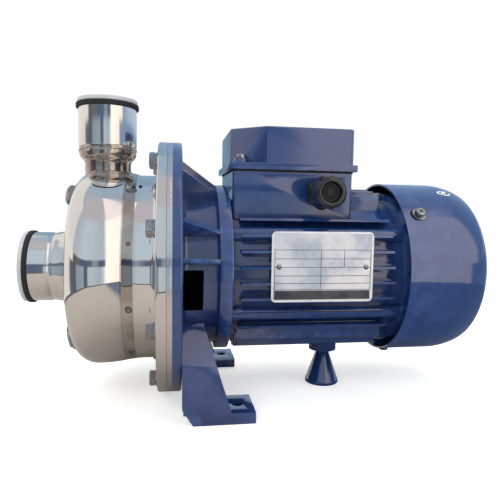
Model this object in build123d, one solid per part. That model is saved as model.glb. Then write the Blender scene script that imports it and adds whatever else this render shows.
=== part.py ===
from build123d import *
import math
import os

# Close-coupled pressed-stainless centrifugal pump with a finned induction motor, in millimetres.
# +X runs along the shaft from the suction port to the fan, +Z is up.
# The origin is midway between the two foot holes, on the plane that the feet stand on.
# Sizes named height, drop, top, bottom or low on the pump and motor are measured from the shaft line.

# Shaft line and length stations along X
shaft_height = 122.0
flange_back_x = -48.0
bracket_end_x = -5.0
housing_length = 157.0

# Clearance between parts that sit together without pressing
fit_clearance = 0.1

# Casing
casing_wall = 2.5
casing_front_x = -151.0
volute_rise = 3.7
volute_crown_x = -122.5
dome_middle_x = -147.6
dome_edge_x = -143.9
dome_edge_drop = 16.8
valley_x = -90.5
valley_rise = 0.7
valley_length = 6.0
flange_radius = 119.0
flange_width = 31.5
casing_flange_thickness = 8.8
flange_edge_round = 2.0
joint_round = 5.0

# Casing bolts
casing_bolt_count = 8
bolt_edge_distance = 12.5
bolt_diameter = 8.0
bolt_hole_diameter = 9.0
bolt_head_across_flats = 13.0
bolt_head_height = 5.5
spring_washer_thickness = 2.0
spring_washer_diameter = 14.5
bolt_end_inset = 1.5

# Suction port, thread size G2
suction_bore_radius = 28.3
suction_outer_radius = 32.5
suction_length = 37.0
suction_flare = 3.0
suction_crease_x = -166.0

# Discharge port, thread size G1 1/2
discharge_x = -117.0
discharge_bore_radius = 22.45
discharge_outer_radius = 26.5
discharge_rise = 61.5
discharge_neck_radius = 21.0
discharge_neck_bore = 19.0
discharge_neck_round = 2.0
discharge_shoulder_rise = 8.8
discharge_shoulder_round = 4.0
discharge_thread_depth = 26.0

# Rings at both ports
suction_ring_lip = 1.5
discharge_ring_lip = 2.2
seal_ring_grip = 3.0
seal_ring_face = 1.2
rim_ring_thickness = 4.0

# Hexagon plugs on the casing front
plug_place = 0.78
plug_across_flats = 19.0
plug_head_height = 7.0
drain_head_height = 2.5
plug_flange_radius = 12.0
plug_flange_thickness = 1.6
plug_thread_radius = 6.5
plug_thread_length = 9.0
plug_washer_thickness = 1.6
plug_boss_radius = 11.0
plug_spot_radius = 12.6
plug_spot_depth = 1.0
drain_plug_angle = 160.0

# Casing cover
cover_edge_thickness = 4.2
cover_wall = 2.5
cover_dish_gap = 5.5
cover_dish_x = -106.0
cover_corner = 10.0
seal_chamber_radius = 18.0
seal_chamber_x = -84.0
cover_groove_depth = 2.2
cover_groove_width = 4.2
o_ring_inset = 3.0

# Impeller
impeller_rim_gap = 16.0
impeller_eye_radius = 25.0
impeller_front_x = -145.5
impeller_outlet_width = 9.0
impeller_shroud = 2.0
impeller_cone_depth = 8.0
impeller_back_x = -119.0
impeller_hub_radius = 14.0
impeller_hub_start = -134.0
impeller_hub_end = -108.0
vane_count = 6
vane_thickness = 2.4
vane_inlet_radius = 24.0
vane_wrap = 100.0
wear_ring_radius = 33.0
wear_ring_clearance = 0.35
wear_ring_end = -140.5

# Shaft
shaft_thread_start = -145.0
shaft_thread_radius = 5.0
shaft_wet_radius = 8.0
shaft_seal_radius = 9.0
shaft_bearing_radius = 10.0
shaft_core_radius = 13.0
shaft_fan_radius = 7.5
impeller_nut_across_flats = 17.0
impeller_nut_thickness = 9.0
key_width = 4.0
key_height = 4.0
key_clearance = 0.05

# Shaft seal
seal_seat_radius = 15.5
seal_cup_length = 7.0
seal_cup_floor = 2.0
seal_ring_x = -98.0
seal_face_radius = 13.0
seal_face_thickness = 5.0
seal_face_gap = 0.05
seal_spring_wire = 0.9
seal_spring_radius = 12.6
seal_spring_turns = 2.5
seal_bellows_radius = 11.2
slinger_x = -44.0
slinger_thickness = 4.0
slinger_radius = 20.0

# Bearings
front_bearing_x = -19.0
rear_bearing_x = 140.0
bearing_outer_radius = 23.5
bearing_width = 14.0
bearing_ring = 4.0
bearing_shield = 1.0
bearing_shield_gap = 0.35
seat_clearance = 0.05
wave_washer_thickness = 1.5

# Bracket
bracket_flange_thickness = 8.2
lantern_rise = 6.0
lantern_wall = 8.0
motor_ring_rise = 12.0
motor_ring_length = 11.0
end_wall = 8.0
spigot_length = 4.0
spigot_wall = 5.0
bearing_boss_radius = 31.0
window_length = 18.0
window_top = 5.0
window_bottom = -31.0
gusset_thickness = 4.0
gusset_edge_distance = 16.0
gusset_angles = (90.0, 62.0, 28.0, 9.0)

# Legs and feet
foot_hole_spacing = 150.0
foot_hole_diameter = 10.0
foot_outer_y = 95.0
foot_inner_y = 54.0
foot_thickness = 9.5
foot_end_x = 13.5
foot_front_x = -39.0
leg_front_x = -48.0
leg_back_x = -7.0
leg_top_x = -29.5
leg_top_drop = 42.0
leg_fold_drop = 72.0
leg_top_inset = 6.0
leg_chamfer_height = 14.0
leg_wall = 9.0

# Motor housing
housing_core_radius = 68.0
fin_height = 11.0
housing_wall = 5.5
fin_pitch = 13.8
fin_thickness = 2.2
fin_rows_side = 4
fin_rows_top = 3
fin_rows_bottom = 4
fin_start = 7.0
fin_length = 138.0
wire_hole_radius = 14.0
lug_radius = 14.0

# Tie bolts
tie_bolt_rise = 2.5
tie_bolt_angle = 30.0
tie_boss_radius = 6.0
tie_bolt_radius = 2.5
tie_bolt_head_across_flats = 8.0
tie_bolt_head_length = 4.0
tie_bolt_grip = 9.0

# Stator and rotor
stator_bore_radius = 38.5
stator_length = 80.0
stator_start_x = 34.0
slot_count = 24
slot_lip = 2.0
slot_depth = 13.0
slot_width = 5.0
winding_overhang = 16.0
winding_wall = 13.0
air_gap = 0.5
end_ring_length = 9.0
end_ring_wall = 14.0

# Rear end shield and fan
shield_rise = 8.0
shield_thickness = 8.0
shield_spigot_length = 4.0
rear_boss_radius = 30.0
ear_thickness = 6.0
ear_half = 8.0
fan_x = 196.0
fan_hub_radius = 14.0
fan_hub_length = 26.0
fan_rim_gap = 13.0
fan_disc_radius = 40.0
fan_disc_thickness = 2.5
fan_blade_count = 6
fan_blade_thickness = 2.0
fan_blade_depth = 26.0
fan_clip_thickness = 1.2
fan_clip_depth = 1.0

# Fan cowl
cowl_gap = 6.0
cowl_wall = 1.6
cowl_start_x = 152.0
cowl_cylinder_length = 48.0
cowl_corner_x = 225.0
cowl_corner_drop = 5.0
cowl_face_x = 235.0
cowl_face_drop = 19.0
cowl_end_x = 238.0
grille_rows = 4
grille_slot_count = 8
grille_slot_width = 5.0
grille_first_radius = 12.0
grille_pitch = 12.0
grille_open_share = 0.6

# Cowl screws
cowl_screw_angles = (270.0, 40.0, 140.0)
cowl_screw_x = 167.0
cowl_screw_radius = 2.5
cowl_screw_head_radius = 4.8
cowl_screw_head_height = 3.0
cowl_washer_radius = 6.5
cowl_washer_thickness = 2.4

# Terminal box
box_start_x = -3.5
box_length = 111.5
box_width = 99.0
box_sink = 20.0
box_rise = 23.0
box_wall = 4.0
box_floor = 3.0
box_corner_round = 3.0
gasket_thickness = 1.6

# Terminal box lid
lid_flange_height = 6.0
lid_overhang = 3.5
lid_rise = 63.0
lid_wall = 3.0
lid_front_step = 3.5
lid_corner_along = 30.0
lid_corner_across = 25.0
lid_corner_small = 3.0
lid_edge_round = 1.5
lid_screw_inset = 8.0
lid_screw_radius = 2.5
lid_screw_head_radius = 4.2
lid_screw_head_height = 3.6
lid_screw_grip = 10.0
lid_screw_post = 2.5
lid_screw_post_depth = 16.0
lid_boss_radius = 6.0
lid_boss_height = 4.5

# Terminal board
board_thickness = 6.0
board_length = 70.0
board_width = 36.0
board_rise = 12.0
board_foot = 8.0
board_foot_height = 30.0
board_y = 0.0
stud_radius = 2.5
stud_length = 24.0
stud_pitch = 18.0
stud_nut_across_flats = 8.0
stud_nut_thickness = 4.0

# Cable gland
gland_x = 78.0
gland_rise = 4.5
gland_inner_length = 6.0
gland_hex = 27.0
gland_hex_thickness = 9.0
gland_nut_radius = 14.0
gland_nut_length = 24.0
gland_dome_round = 5.0
gland_thread_radius = 11.0
gland_bore_radius = 8.0
gland_plug_radius = 7.9

# Nameplate
nameplate_length = 91.0
nameplate_height = 61.0
nameplate_thickness = 0.8
nameplate_x = 72.7
nameplate_rise = 8.2
nameplate_corner = 4.0
rivet_radius = 1.2
rivet_boss_radius = 4.0
rivet_length = 3.0
rivet_head_radius = 2.4
rivet_head_height = 1.0
rivet_spacing = 78.0

# Cone foot
foot_cone_x = 99.0
lug_depth = 8.0
cone_base_radius = 17.0
cone_tip_radius = 6.0
cone_lip_height = 3.0
cone_screw_radius = 3.0
cone_screw_length = 12.0
cone_screw_head_radius = 5.0
cone_screw_head_height = 4.0
cone_recess_depth = 8.0

# Casing radii and heights that follow the flange
barrel_radius = flange_radius - flange_width
volute_radius = barrel_radius + volute_rise
valley_radius = barrel_radius + valley_rise
dome_radius = volute_radius - dome_edge_drop
dome_middle_radius = 0.75 * dome_radius
bolt_circle_radius = flange_radius - bolt_edge_distance
gusset_rim_radius = flange_radius - gusset_edge_distance
cover_dish_radius = barrel_radius - cover_dish_gap
impeller_radius = cover_dish_radius - impeller_rim_gap
discharge_height = volute_radius + discharge_rise
discharge_shoulder_low = volute_radius + discharge_shoulder_rise

# Motor radii and heights that follow the housing's round core
housing_envelope_radius = housing_core_radius + fin_height
tie_bolt_circle = housing_core_radius + tie_bolt_rise
lantern_radius = housing_core_radius + lantern_rise
motor_ring_radius = housing_core_radius + motor_ring_rise
leg_top_y = lantern_radius - leg_top_inset
shield_radius = housing_core_radius + shield_rise
cowl_radius = housing_envelope_radius + cowl_gap
cowl_corner_radius = cowl_radius - cowl_corner_drop
cowl_face_radius = cowl_radius - cowl_face_drop
fan_radius = cowl_radius - fan_rim_gap
box_bottom = housing_core_radius - box_sink
box_top = housing_core_radius + box_rise
lid_top = housing_core_radius + lid_rise
board_height = housing_core_radius + board_rise
gland_height = housing_core_radius + gland_rise
cone_top = shaft_height - housing_envelope_radius - lug_depth

# Stations worked out from the values above
nameplate_back_y = -housing_envelope_radius
bracket_face_x = flange_back_x - bracket_flange_thickness
cover_face_x = bracket_face_x - cover_edge_thickness
casing_flange_x = cover_face_x - casing_flange_thickness
housing_end_x = bracket_end_x + housing_length
suction_end_x = casing_front_x - suction_length
shaft_line = Axis((0, 0, shaft_height), (1, 0, 0))
os.makedirs("parts", exist_ok=True)


def ring_profile(points):
    """A closed face in the plane through the shaft line, from (x, radius) points."""
    return make_face(Polyline(*[(x, 0, shaft_height + r) for x, r in points], close=True))


def turned(*points):
    """A solid turned about the shaft line, from (x, radius) points."""
    return revolve(ring_profile(points), shaft_line, 360)


def tube(x0, x1, outer, inner):
    """A plain ring about the shaft line."""
    return turned((x0, inner), (x1, inner), (x1, outer), (x0, outer))


def rod(x0, x1, radius, y=0.0, z=0.0):
    """A round bar along X, placed by its distance from the shaft line."""
    plane = Plane((x0, y, shaft_height + z), x_dir=(0, 1, 0), z_dir=(1, 0, 0))
    return extrude(plane * Circle(radius), x1 - x0)


def hexagon(x0, x1, across_flats, y=0.0, z=0.0):
    """A hexagon bar along X, placed by its distance from the shaft line."""
    plane = Plane((x0, y, shaft_height + z), x_dir=(0, 1, 0), z_dir=(1, 0, 0))
    return extrude(plane * RegularPolygon(across_flats / 2, 6, major_radius=False), x1 - x0)


def around(count, radius, start):
    """Points (y, z) of a ring of holes or screws about the shaft line."""
    for k in range(count):
        angle = math.radians(start + 360.0 * k / count)
        yield radius * math.cos(angle), radius * math.sin(angle)


def about_shaft(shape, angle):
    """The shape turned about the shaft line by an angle in degrees."""
    return shape.rotate(shaft_line, angle)


def save(name, *solids):
    """Write one node: a single solid, or a group of separate ones."""
    pieces = [s for shape in solids for s in shape.solids()]
    node = pieces[0] if len(pieces) == 1 else Compound(children=pieces)
    node.label = name
    export_step(node, os.path.join("parts", name + ".step"))


def bolt_places():
    """Bolt centres on the casing flange, straddling the vertical."""
    return around(casing_bolt_count, bolt_circle_radius, 180.0 / casing_bolt_count)


def dome_arc(inset=0.0):
    """The slightly domed front of the casing, from the port weld out to the knee."""
    foot = suction_outer_radius + suction_flare + joint_round / 2
    start = (casing_front_x + inset, 0, shaft_height + foot)
    middle = (dome_middle_x + inset, 0, shaft_height + dome_middle_radius - inset / 4)
    end = (dome_edge_x + inset * 0.9, 0, shaft_height + dome_radius - inset / 2)
    return ThreePointArc(start, middle, end)


def casing_profile(inset, flanged):
    """Half section of the casing: the outside with its flange, or the inside a wall further in."""
    z = shaft_height
    dome = dome_arc(inset)
    crown = (volute_crown_x, 0, z + volute_radius - inset)
    valley = (valley_x, 0, z + valley_radius - inset)
    barrel = (valley_x + valley_length, 0, z + barrel_radius - inset)
    shoulder = TangentArc(dome @ 1, crown, tangent=dome % 1)
    fall = TangentArc(crown, valley, tangent=(1, 0, 0))
    groove = TangentArc(barrel, valley, tangent=(-1, 0, 0))
    bore = 0.0 if inset else suction_bore_radius
    edges = [Line((casing_front_x + inset, 0, z + bore), dome @ 0), dome, shoulder, fall, groove]
    if flanged:
        face_x = casing_flange_x
        corner = (face_x, 0, z + barrel_radius + joint_round)
        bend = TangentArc((face_x - joint_round, 0, z + barrel_radius), corner, tangent=(1, 0, 0))
        rim = (face_x, 0, z + flange_radius)
        end = (cover_face_x, 0, z + flange_radius)
        edges += [Line(barrel, bend @ 0), bend, Line(corner, rim), Line(rim, end)]
    else:
        end = (cover_face_x + fit_clearance, 0, z + barrel_radius - inset)
        edges.append(Line(barrel, end))
    close = (end[0], 0, z + bore)
    edges += [Line(end, close), Line(close, (casing_front_x + inset, 0, z + bore))]
    return make_face(edges)


def casing_solid():
    """The casing's outside as one filled solid, which the ports are cut to fit."""
    solid = revolve(casing_profile(0.0, True), shaft_line, 360)
    rims = solid.edges().filter_by(GeomType.CIRCLE)
    rims = rims.filter_by(lambda e: abs(e.radius - flange_radius) < 1e-6)
    front_rim = rims.sort_by(Axis.X)[0]
    return fillet(front_rim, flange_edge_round)


def plug_plane(side_angle):
    """Where a hexagon plug seats on the dome: outward normal, turned about the shaft line."""
    arc = dome_arc()
    seat = arc @ plug_place
    lean = arc % plug_place
    outward = Vector(-lean.Z, 0, lean.X)
    return Plane(seat, x_dir=(0, 1, 0), z_dir=outward), side_angle


def on_dome(shape, plug):
    """A shape drawn on the plug's own plane, set in its place on the casing."""
    plane, side_angle = plug
    return about_shaft(plane * shape, side_angle)


def make_casing():
    """Pressed casing with its flange, port and plug openings."""
    shell = casing_solid() - revolve(casing_profile(casing_wall, False), shaft_line, 360)
    for plug in plugs:
        boss_height = plug_thread_length - plug_spot_depth
        boss = Pos(0, 0, -plug_thread_length) * extrude(Circle(plug_boss_radius), boss_height)
        spot = Pos(0, 0, -plug_spot_depth) * extrude(Circle(plug_spot_radius), 3 * plug_spot_depth)
        hole = Pos(0, 0, -plug_thread_length - 1) * extrude(Circle(plug_thread_radius), plug_thread_length + 5)
        shell = shell + on_dome(boss, plug) - on_dome(spot, plug) - on_dome(hole, plug)
    shell -= upright(discharge_neck_bore, volute_radius / 2, volute_radius + joint_round)
    for y, z in bolt_places():
        shell -= rod(casing_flange_x - 1, cover_face_x + 1, bolt_hole_diameter / 2, y, z)
    return shell


def upright(radius, low, high):
    """A round bar on the discharge line, between two heights above the shaft line."""
    return Pos(discharge_x, 0, shaft_height + low) * extrude(Circle(radius), high - low)


def upright_ring(outer, inner, low, high):
    """A plain ring on the discharge line."""
    return upright(outer, low, high) - upright(inner, low - 1, high + 1)


def make_suction_socket():
    """Tube with a flared weld foot and a faint crease, bored to the thread's inner size."""
    z = shaft_height
    foot = suction_outer_radius + suction_flare
    end_x = suction_end_x + seal_ring_face
    inner = Line((end_x, 0, z + suction_bore_radius), (casing_front_x, 0, z + suction_bore_radius))
    weld = Line(inner @ 1, (casing_front_x, 0, z + foot))
    flare_start = (suction_crease_x, 0, z + suction_outer_radius)
    flare = Spline(weld @ 1, flare_start, tangents=[(-1, 0, -0.25), (-1, 0, 0)])
    outer = Line(flare_start, (end_x, 0, z + suction_outer_radius))
    face = make_face([inner, weld, flare, outer, Line(outer @ 1, inner @ 0)])
    return revolve(face, shaft_line, 360)


def make_port_rings(outer, bore, lip):
    """The black ring over a port's end and the pale ring outside it, drawn upward from the port's mouth."""
    skirt = Pos(0, 0, -seal_ring_grip) * extrude(Circle(outer + lip) - Circle(outer), seal_ring_grip)
    face = extrude(Circle(outer + lip) - Circle(bore), seal_ring_face)
    pale = Circle(outer + lip / 2) - Circle(bore)
    rim = Pos(0, 0, seal_ring_face) * extrude(pale, rim_ring_thickness)
    return skirt + face, rim


def make_discharge_socket():
    """Neck, rounded shoulder and threaded socket, cut below to sit on the casing."""
    low = volute_radius * 0.8
    top = discharge_height - seal_ring_face
    step = discharge_outer_radius - discharge_neck_radius
    outline = [
        (0, low),
        (discharge_neck_radius, low),
        (discharge_neck_radius, discharge_shoulder_low),
        (discharge_outer_radius, discharge_shoulder_low + step),
        (discharge_outer_radius, top),
        (0, top),
    ]
    points = [(discharge_x + r, 0, shaft_height + h) for r, h in outline]
    profile = make_face(Polyline(*points, close=True))
    line = Axis((discharge_x, 0, 0), (0, 0, 1))
    solid = revolve(profile, line, 360)
    rings = solid.edges().filter_by(GeomType.CIRCLE).sort_by(Axis.Z)
    solid = fillet(rings[1], discharge_neck_round)
    rings = solid.edges().filter_by(GeomType.CIRCLE)
    level = shaft_height + discharge_shoulder_low + step
    rings = rings.filter_by(lambda e: abs(e.center().Z - level) < 0.01)
    solid = fillet(rings, discharge_shoulder_round)
    solid -= upright(discharge_neck_bore, low - 1, top + 1)
    solid -= upright(discharge_bore_radius, top - discharge_thread_depth, top + 1)
    return solid - casing_solid()


def make_plug(head_height):
    """Hexagon plug with a collar, drawn with its seat at the origin."""
    seat = plug_washer_thickness - plug_spot_depth
    head = Pos(0, 0, seat + plug_flange_thickness) * extrude(
        RegularPolygon(plug_across_flats / 2, 6, major_radius=False), head_height
    )
    collar = Pos(0, 0, seat) * extrude(Circle(plug_flange_radius), plug_flange_thickness)
    thread = Pos(0, 0, seat - plug_thread_length) * extrude(
        Circle(plug_thread_radius - fit_clearance), plug_thread_length
    )
    crown = Pos(0, 0, seat + plug_flange_thickness + head_height)
    wide = plug_across_flats / 2 + 5.0
    low_end = (Align.CENTER, Align.CENTER, Align.MAX)
    cone = crown * Cone(wide, wide - head_height, head_height, align=low_end)
    return (head & cone) + collar + thread


def make_plug_washer():
    """Flat ring under a plug's collar."""
    ring = Circle(plug_flange_radius) - Circle(plug_thread_radius + fit_clearance)
    return Pos(0, 0, -plug_spot_depth) * extrude(ring, plug_washer_thickness)


def make_cover():
    """Pressed back plate: rim, dish towards the impeller and the shaft seal's chamber."""
    wall = cover_wall
    hole = shaft_seal_radius + 2.0
    dish = ring_profile([
        (cover_face_x, flange_radius),
        (bracket_face_x, flange_radius),
        (bracket_face_x, cover_dish_radius - wall),
        (cover_dish_x + wall, cover_dish_radius - wall),
        (cover_dish_x + wall, seal_chamber_radius + wall),
        (seal_chamber_x + wall, seal_chamber_radius + wall),
        (seal_chamber_x + wall, hole),
        (seal_chamber_x, hole),
        (seal_chamber_x, seal_chamber_radius),
        (cover_dish_x, seal_chamber_radius),
        (cover_dish_x, cover_dish_radius),
        (cover_face_x, cover_dish_radius),
    ])
    solid = revolve(dish, shaft_line, 360)
    for corner_x, corner_round in ((cover_dish_x, cover_corner), (cover_dish_x + wall, cover_corner - wall)):
        circles = solid.edges().filter_by(GeomType.CIRCLE)
        level = circles.filter_by(lambda e: abs(e.center().X - corner_x) < 0.01)
        solid = fillet(level.sort_by(lambda e: e.radius)[-1], corner_round)
    groove_inner = barrel_radius + o_ring_inset
    groove_outer = groove_inner + cover_groove_width
    solid -= tube(cover_face_x, cover_face_x + cover_groove_depth, groove_outer, groove_inner)
    for y, z in bolt_places():
        solid -= rod(cover_face_x - 1, bracket_face_x + 1, bolt_hole_diameter / 2, y, z)
    return solid


def make_o_ring():
    """Rubber ring in the cover's groove, nearly as thick as the groove is deep."""
    middle = barrel_radius + o_ring_inset + cover_groove_width / 2
    radius = cover_groove_depth / 2 - fit_clearance / 2
    place = Plane.XZ * Pos(cover_face_x + cover_groove_depth / 2, shaft_height + middle)
    return revolve(place * Circle(radius), shaft_line, 360)


def vane_face():
    """One backward-curved vane as seen along the shaft: a thick arc from eye to rim."""
    wrap = math.radians(vane_wrap)
    rim = impeller_radius
    start = Vector(vane_inlet_radius, 0)
    end = Vector(rim * math.cos(wrap), rim * math.sin(wrap))
    middle_radius = (vane_inlet_radius + rim) * 0.47
    middle = Vector(middle_radius * math.cos(wrap * 0.42), middle_radius * math.sin(wrap * 0.42))
    arc = ThreePointArc(start, middle, end)
    return make_face(arc.edge().offset_2d(vane_thickness / 2, side=Side.BOTH))


def make_impeller():
    """Closed impeller: hub and back shroud, curved vanes and a front shroud with its eye neck."""
    shroud = impeller_shroud
    rim_front = impeller_back_x - impeller_outlet_width - shroud
    eye_outer = impeller_eye_radius + shroud
    neck_x = rim_front - impeller_cone_depth
    back = turned(
        (impeller_hub_start, shaft_wet_radius),
        (impeller_hub_end, shaft_wet_radius),
        (impeller_hub_end, impeller_hub_radius),
        (impeller_back_x + shroud, impeller_hub_radius),
        (impeller_back_x + shroud, impeller_radius),
        (impeller_back_x, impeller_radius),
        (impeller_back_x, impeller_hub_radius + 4.0),
        (impeller_hub_start, impeller_hub_radius - 3.0),
    )
    front = turned(
        (impeller_front_x, impeller_eye_radius),
        (neck_x + shroud, impeller_eye_radius),
        (rim_front + shroud, impeller_radius),
        (rim_front, impeller_radius),
        (neck_x, eye_outer),
        (impeller_front_x, eye_outer),
    )
    space = turned(
        (neck_x, 0.0),
        (neck_x + shroud / 2, impeller_eye_radius + shroud / 2),
        (rim_front + shroud / 2, impeller_radius),
        (impeller_back_x + shroud / 2, impeller_radius),
        (impeller_back_x + shroud / 2, 0.0),
    )
    plane = Plane((neck_x, 0, shaft_height), x_dir=(0, 1, 0), z_dir=(1, 0, 0))
    vane = extrude(plane * vane_face(), impeller_back_x - neck_x + shroud) & space
    wheel = back + front
    for k in range(vane_count):
        wheel += about_shaft(vane, 360.0 * k / vane_count)
    return wheel - key_slot(impeller_hub_start - 1, impeller_hub_end + 1)


def key_slot(x0, x1):
    """The keyway over the shaft, with its working clearance."""
    width = key_width + 2 * key_clearance
    height = key_height + key_clearance
    centre = ((x0 + x1) / 2, 0, shaft_height + shaft_wet_radius)
    return Pos(*centre) * Box(x1 - x0, width, height)


def make_impeller_key():
    """Square key, half in the shaft and half in the hub."""
    x0, x1 = impeller_hub_start + 2.0, impeller_hub_end - 2.0
    return Pos((x0 + x1) / 2, 0, shaft_height + shaft_wet_radius) * Box(x1 - x0, key_width, key_height)


def make_shaft():
    """Stepped shaft from the impeller nut's thread to the fan's seat."""
    solid = turned(
        (shaft_thread_start, 0.0),
        (shaft_thread_start, shaft_thread_radius),
        (impeller_hub_start, shaft_thread_radius),
        (impeller_hub_start, shaft_wet_radius),
        (impeller_hub_end, shaft_wet_radius),
        (impeller_hub_end, shaft_seal_radius),
        (front_bearing_x - 6.0, shaft_seal_radius),
        (front_bearing_x - 6.0, shaft_bearing_radius),
        (front_bearing_x + bearing_width, shaft_bearing_radius),
        (front_bearing_x + bearing_width, shaft_core_radius),
        (rear_bearing_x, shaft_core_radius),
        (rear_bearing_x, shaft_bearing_radius),
        (rear_bearing_x + bearing_width + 3.0, shaft_bearing_radius),
        (rear_bearing_x + bearing_width + 3.0, shaft_fan_radius),
        (fan_x + fan_hub_length + 8.0, shaft_fan_radius),
        (fan_x + fan_hub_length + 8.0, 0.0),
    )
    x0, x1 = impeller_hub_start + 2.0 - key_clearance, impeller_hub_end - 2.0 + key_clearance
    slot = Pos((x0 + x1) / 2, 0, shaft_height + shaft_wet_radius)
    solid -= slot * Box(x1 - x0, key_width + 2 * key_clearance, key_height + 2 * key_clearance)
    clip_x = fan_x + fan_hub_length
    groove = shaft_fan_radius - fan_clip_depth
    return solid - tube(clip_x, clip_x + fan_clip_thickness, shaft_fan_radius + 1, groove)


def make_seal_spring():
    """Coil spring over the bellows, between the impeller hub and the rotating ring."""
    length = seal_ring_x - impeller_hub_end - 2 * seal_spring_wire
    helix = Helix(length / seal_spring_turns, length, seal_spring_radius)
    start = Plane(helix @ 0, z_dir=helix % 0)
    coil = sweep(start * Circle(seal_spring_wire), path=helix)
    return Pos(impeller_hub_end + seal_spring_wire, 0, shaft_height) * Rot(0, 90, 0) * coil


def bearing_rings(x):
    """A shielded ball bearing from x on: outer ring with its two shields, and inner ring."""
    inner_radius = shaft_bearing_radius + bearing_ring
    track = bearing_outer_radius - bearing_ring
    end = x + bearing_width
    shield = inner_radius + bearing_shield_gap
    outer = turned(
        (x, shield),
        (x, bearing_outer_radius),
        (end, bearing_outer_radius),
        (end, shield),
        (end - bearing_shield, shield),
        (end - bearing_shield, track),
        (x + bearing_shield, track),
        (x + bearing_shield, shield),
    )
    return outer, tube(x, end, inner_radius, shaft_bearing_radius)


def leg_plate(outer, inner):
    """One leg on the near side: its face leans out, then drops straight to the foot."""
    z = shaft_height
    top = z - leg_top_drop
    fold = z - leg_fold_drop
    side = Plane.XZ * make_face(Polyline(
        (leg_front_x, top),
        (leg_top_x, top),
        (leg_back_x, foot_thickness),
        (foot_end_x, foot_thickness),
        (foot_end_x, 0),
        (foot_front_x, 0),
        (leg_front_x, leg_chamfer_height),
        close=True,
    ))
    block = extrude(side, foot_outer_y)
    skin = Plane.YZ * make_face(Polyline(
        (-leg_top_y, top),
        (-foot_outer_y, fold),
        (-foot_outer_y, 0),
        (-foot_inner_y, 0),
        (-foot_inner_y, foot_thickness),
        (-foot_outer_y + leg_wall, foot_thickness),
        (-foot_outer_y + leg_wall, fold + leg_wall / 4),
        (-leg_top_y + leg_wall, top),
        close=True,
    ))
    return block & Pos(leg_front_x - 1, 0, 0) * extrude(skin, foot_end_x - leg_front_x + 2)


def leg_web():
    """Rib behind the flange that stiffens a leg down to its foot, on the near side."""
    z = shaft_height
    web = Plane.YZ * make_face(Polyline(
        (-leg_top_y, z - leg_top_drop),
        (-foot_outer_y + 1, z - leg_fold_drop),
        (-foot_outer_y + 1, foot_thickness - 1),
        (-foot_inner_y, foot_thickness - 1),
        (-lantern_radius * 0.45, z - lantern_radius * 0.87),
        close=True,
    ))
    return Pos(leg_front_x + 1, 0, 0) * extrude(web, leg_wall)


def make_gusset(angle):
    """Sloped rib from the flange's back down to the motor ring, at an angle above +Y."""
    face = ring_profile([
        (flange_back_x - 1, lantern_radius - 2),
        (flange_back_x - 1, gusset_rim_radius),
        (flange_back_x, gusset_rim_radius),
        (bracket_end_x - motor_ring_length + 1, motor_ring_radius - 1),
        (bracket_end_x - motor_ring_length + 1, lantern_radius - 2),
    ])
    rib = extrude(face, gusset_thickness / 2, both=True)
    return about_shaft(rib, 90.0 - angle)


def make_bracket():
    """Cast lantern: flange, barrel with its window, gussets, motor ring, bearing seat and legs."""
    ring_x = bracket_end_x - motor_ring_length
    flange = tube(bracket_face_x, flange_back_x, flange_radius, lantern_radius - lantern_wall)
    rim = flange.edges().filter_by(GeomType.CIRCLE)
    rim = rim.filter_by(lambda e: abs(e.radius - flange_radius) < 1e-6)
    flange = fillet(rim.sort_by(Axis.X)[-1], flange_edge_round)
    barrel = tube(flange_back_x - 1, ring_x + 1, lantern_radius, lantern_radius - lantern_wall)
    ring = tube(ring_x, bracket_end_x, motor_ring_radius, bearing_boss_radius - 1)
    spigot_radius = housing_core_radius - housing_wall - fit_clearance
    hollow = tube(ring_x + end_wall, bracket_end_x + 1, spigot_radius - spigot_wall, bearing_boss_radius)
    spigot = tube(bracket_end_x - 1, bracket_end_x + spigot_length, spigot_radius, spigot_radius - spigot_wall)
    boss = tube(front_bearing_x - 5.0, bracket_end_x, bearing_boss_radius, shaft_bearing_radius + 3.0)
    seat = rod(front_bearing_x, bracket_end_x + 1, bearing_outer_radius + seat_clearance)
    body = flange + barrel + (ring - hollow) + spigot + boss - seat
    for angle in gusset_angles:
        body += make_gusset(angle)
        if angle < 90.0:
            body += make_gusset(180.0 - angle)
    near = leg_plate(foot_outer_y, foot_inner_y) + leg_web()
    near -= rod(flange_back_x - 9, bracket_end_x, lantern_radius - 3)
    near -= rod(ring_x, foot_end_x + 1, motor_ring_radius + 1)
    body += near + mirror(near, about=Plane.XZ)
    window = Box(window_length, 1.5 * lantern_radius, window_top - window_bottom)
    window_z = shaft_height + (window_top + window_bottom) / 2
    body -= Pos(flange_back_x + window_length / 2, -0.75 * lantern_radius, window_z) * window
    hole = extrude(Circle(foot_hole_diameter / 2), foot_thickness + 2)
    for side in (-1, 1):
        body -= Pos(0, side * foot_hole_spacing / 2, -1) * hole
    for y, z in bolt_places():
        body -= rod(bracket_face_x - 1, flange_back_x + 1, bolt_diameter / 2 + fit_clearance, y, z)
    for y, z in tie_places():
        body -= rod(bracket_end_x - tie_bolt_grip, bracket_end_x + 1, tie_bolt_radius + fit_clearance, y, z)
    return body


def tie_places():
    """Centres of the four tie bolts about the shaft line."""
    rise = math.radians(tie_bolt_angle)
    y = tie_bolt_circle * math.cos(rise)
    z = tie_bolt_circle * math.sin(rise)
    return [(-y, z), (y, z), (-y, -z), (y, -z)]


def make_casing_bolts():
    """Hexagon bolts through casing, cover and bracket flange."""
    head_x = casing_flange_x - spring_washer_thickness
    for y, z in bolt_places():
        head = hexagon(head_x - bolt_head_height, head_x, bolt_head_across_flats, y, z)
        yield head + rod(head_x, flange_back_x - bolt_end_inset, bolt_diameter / 2, y, z)


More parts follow.
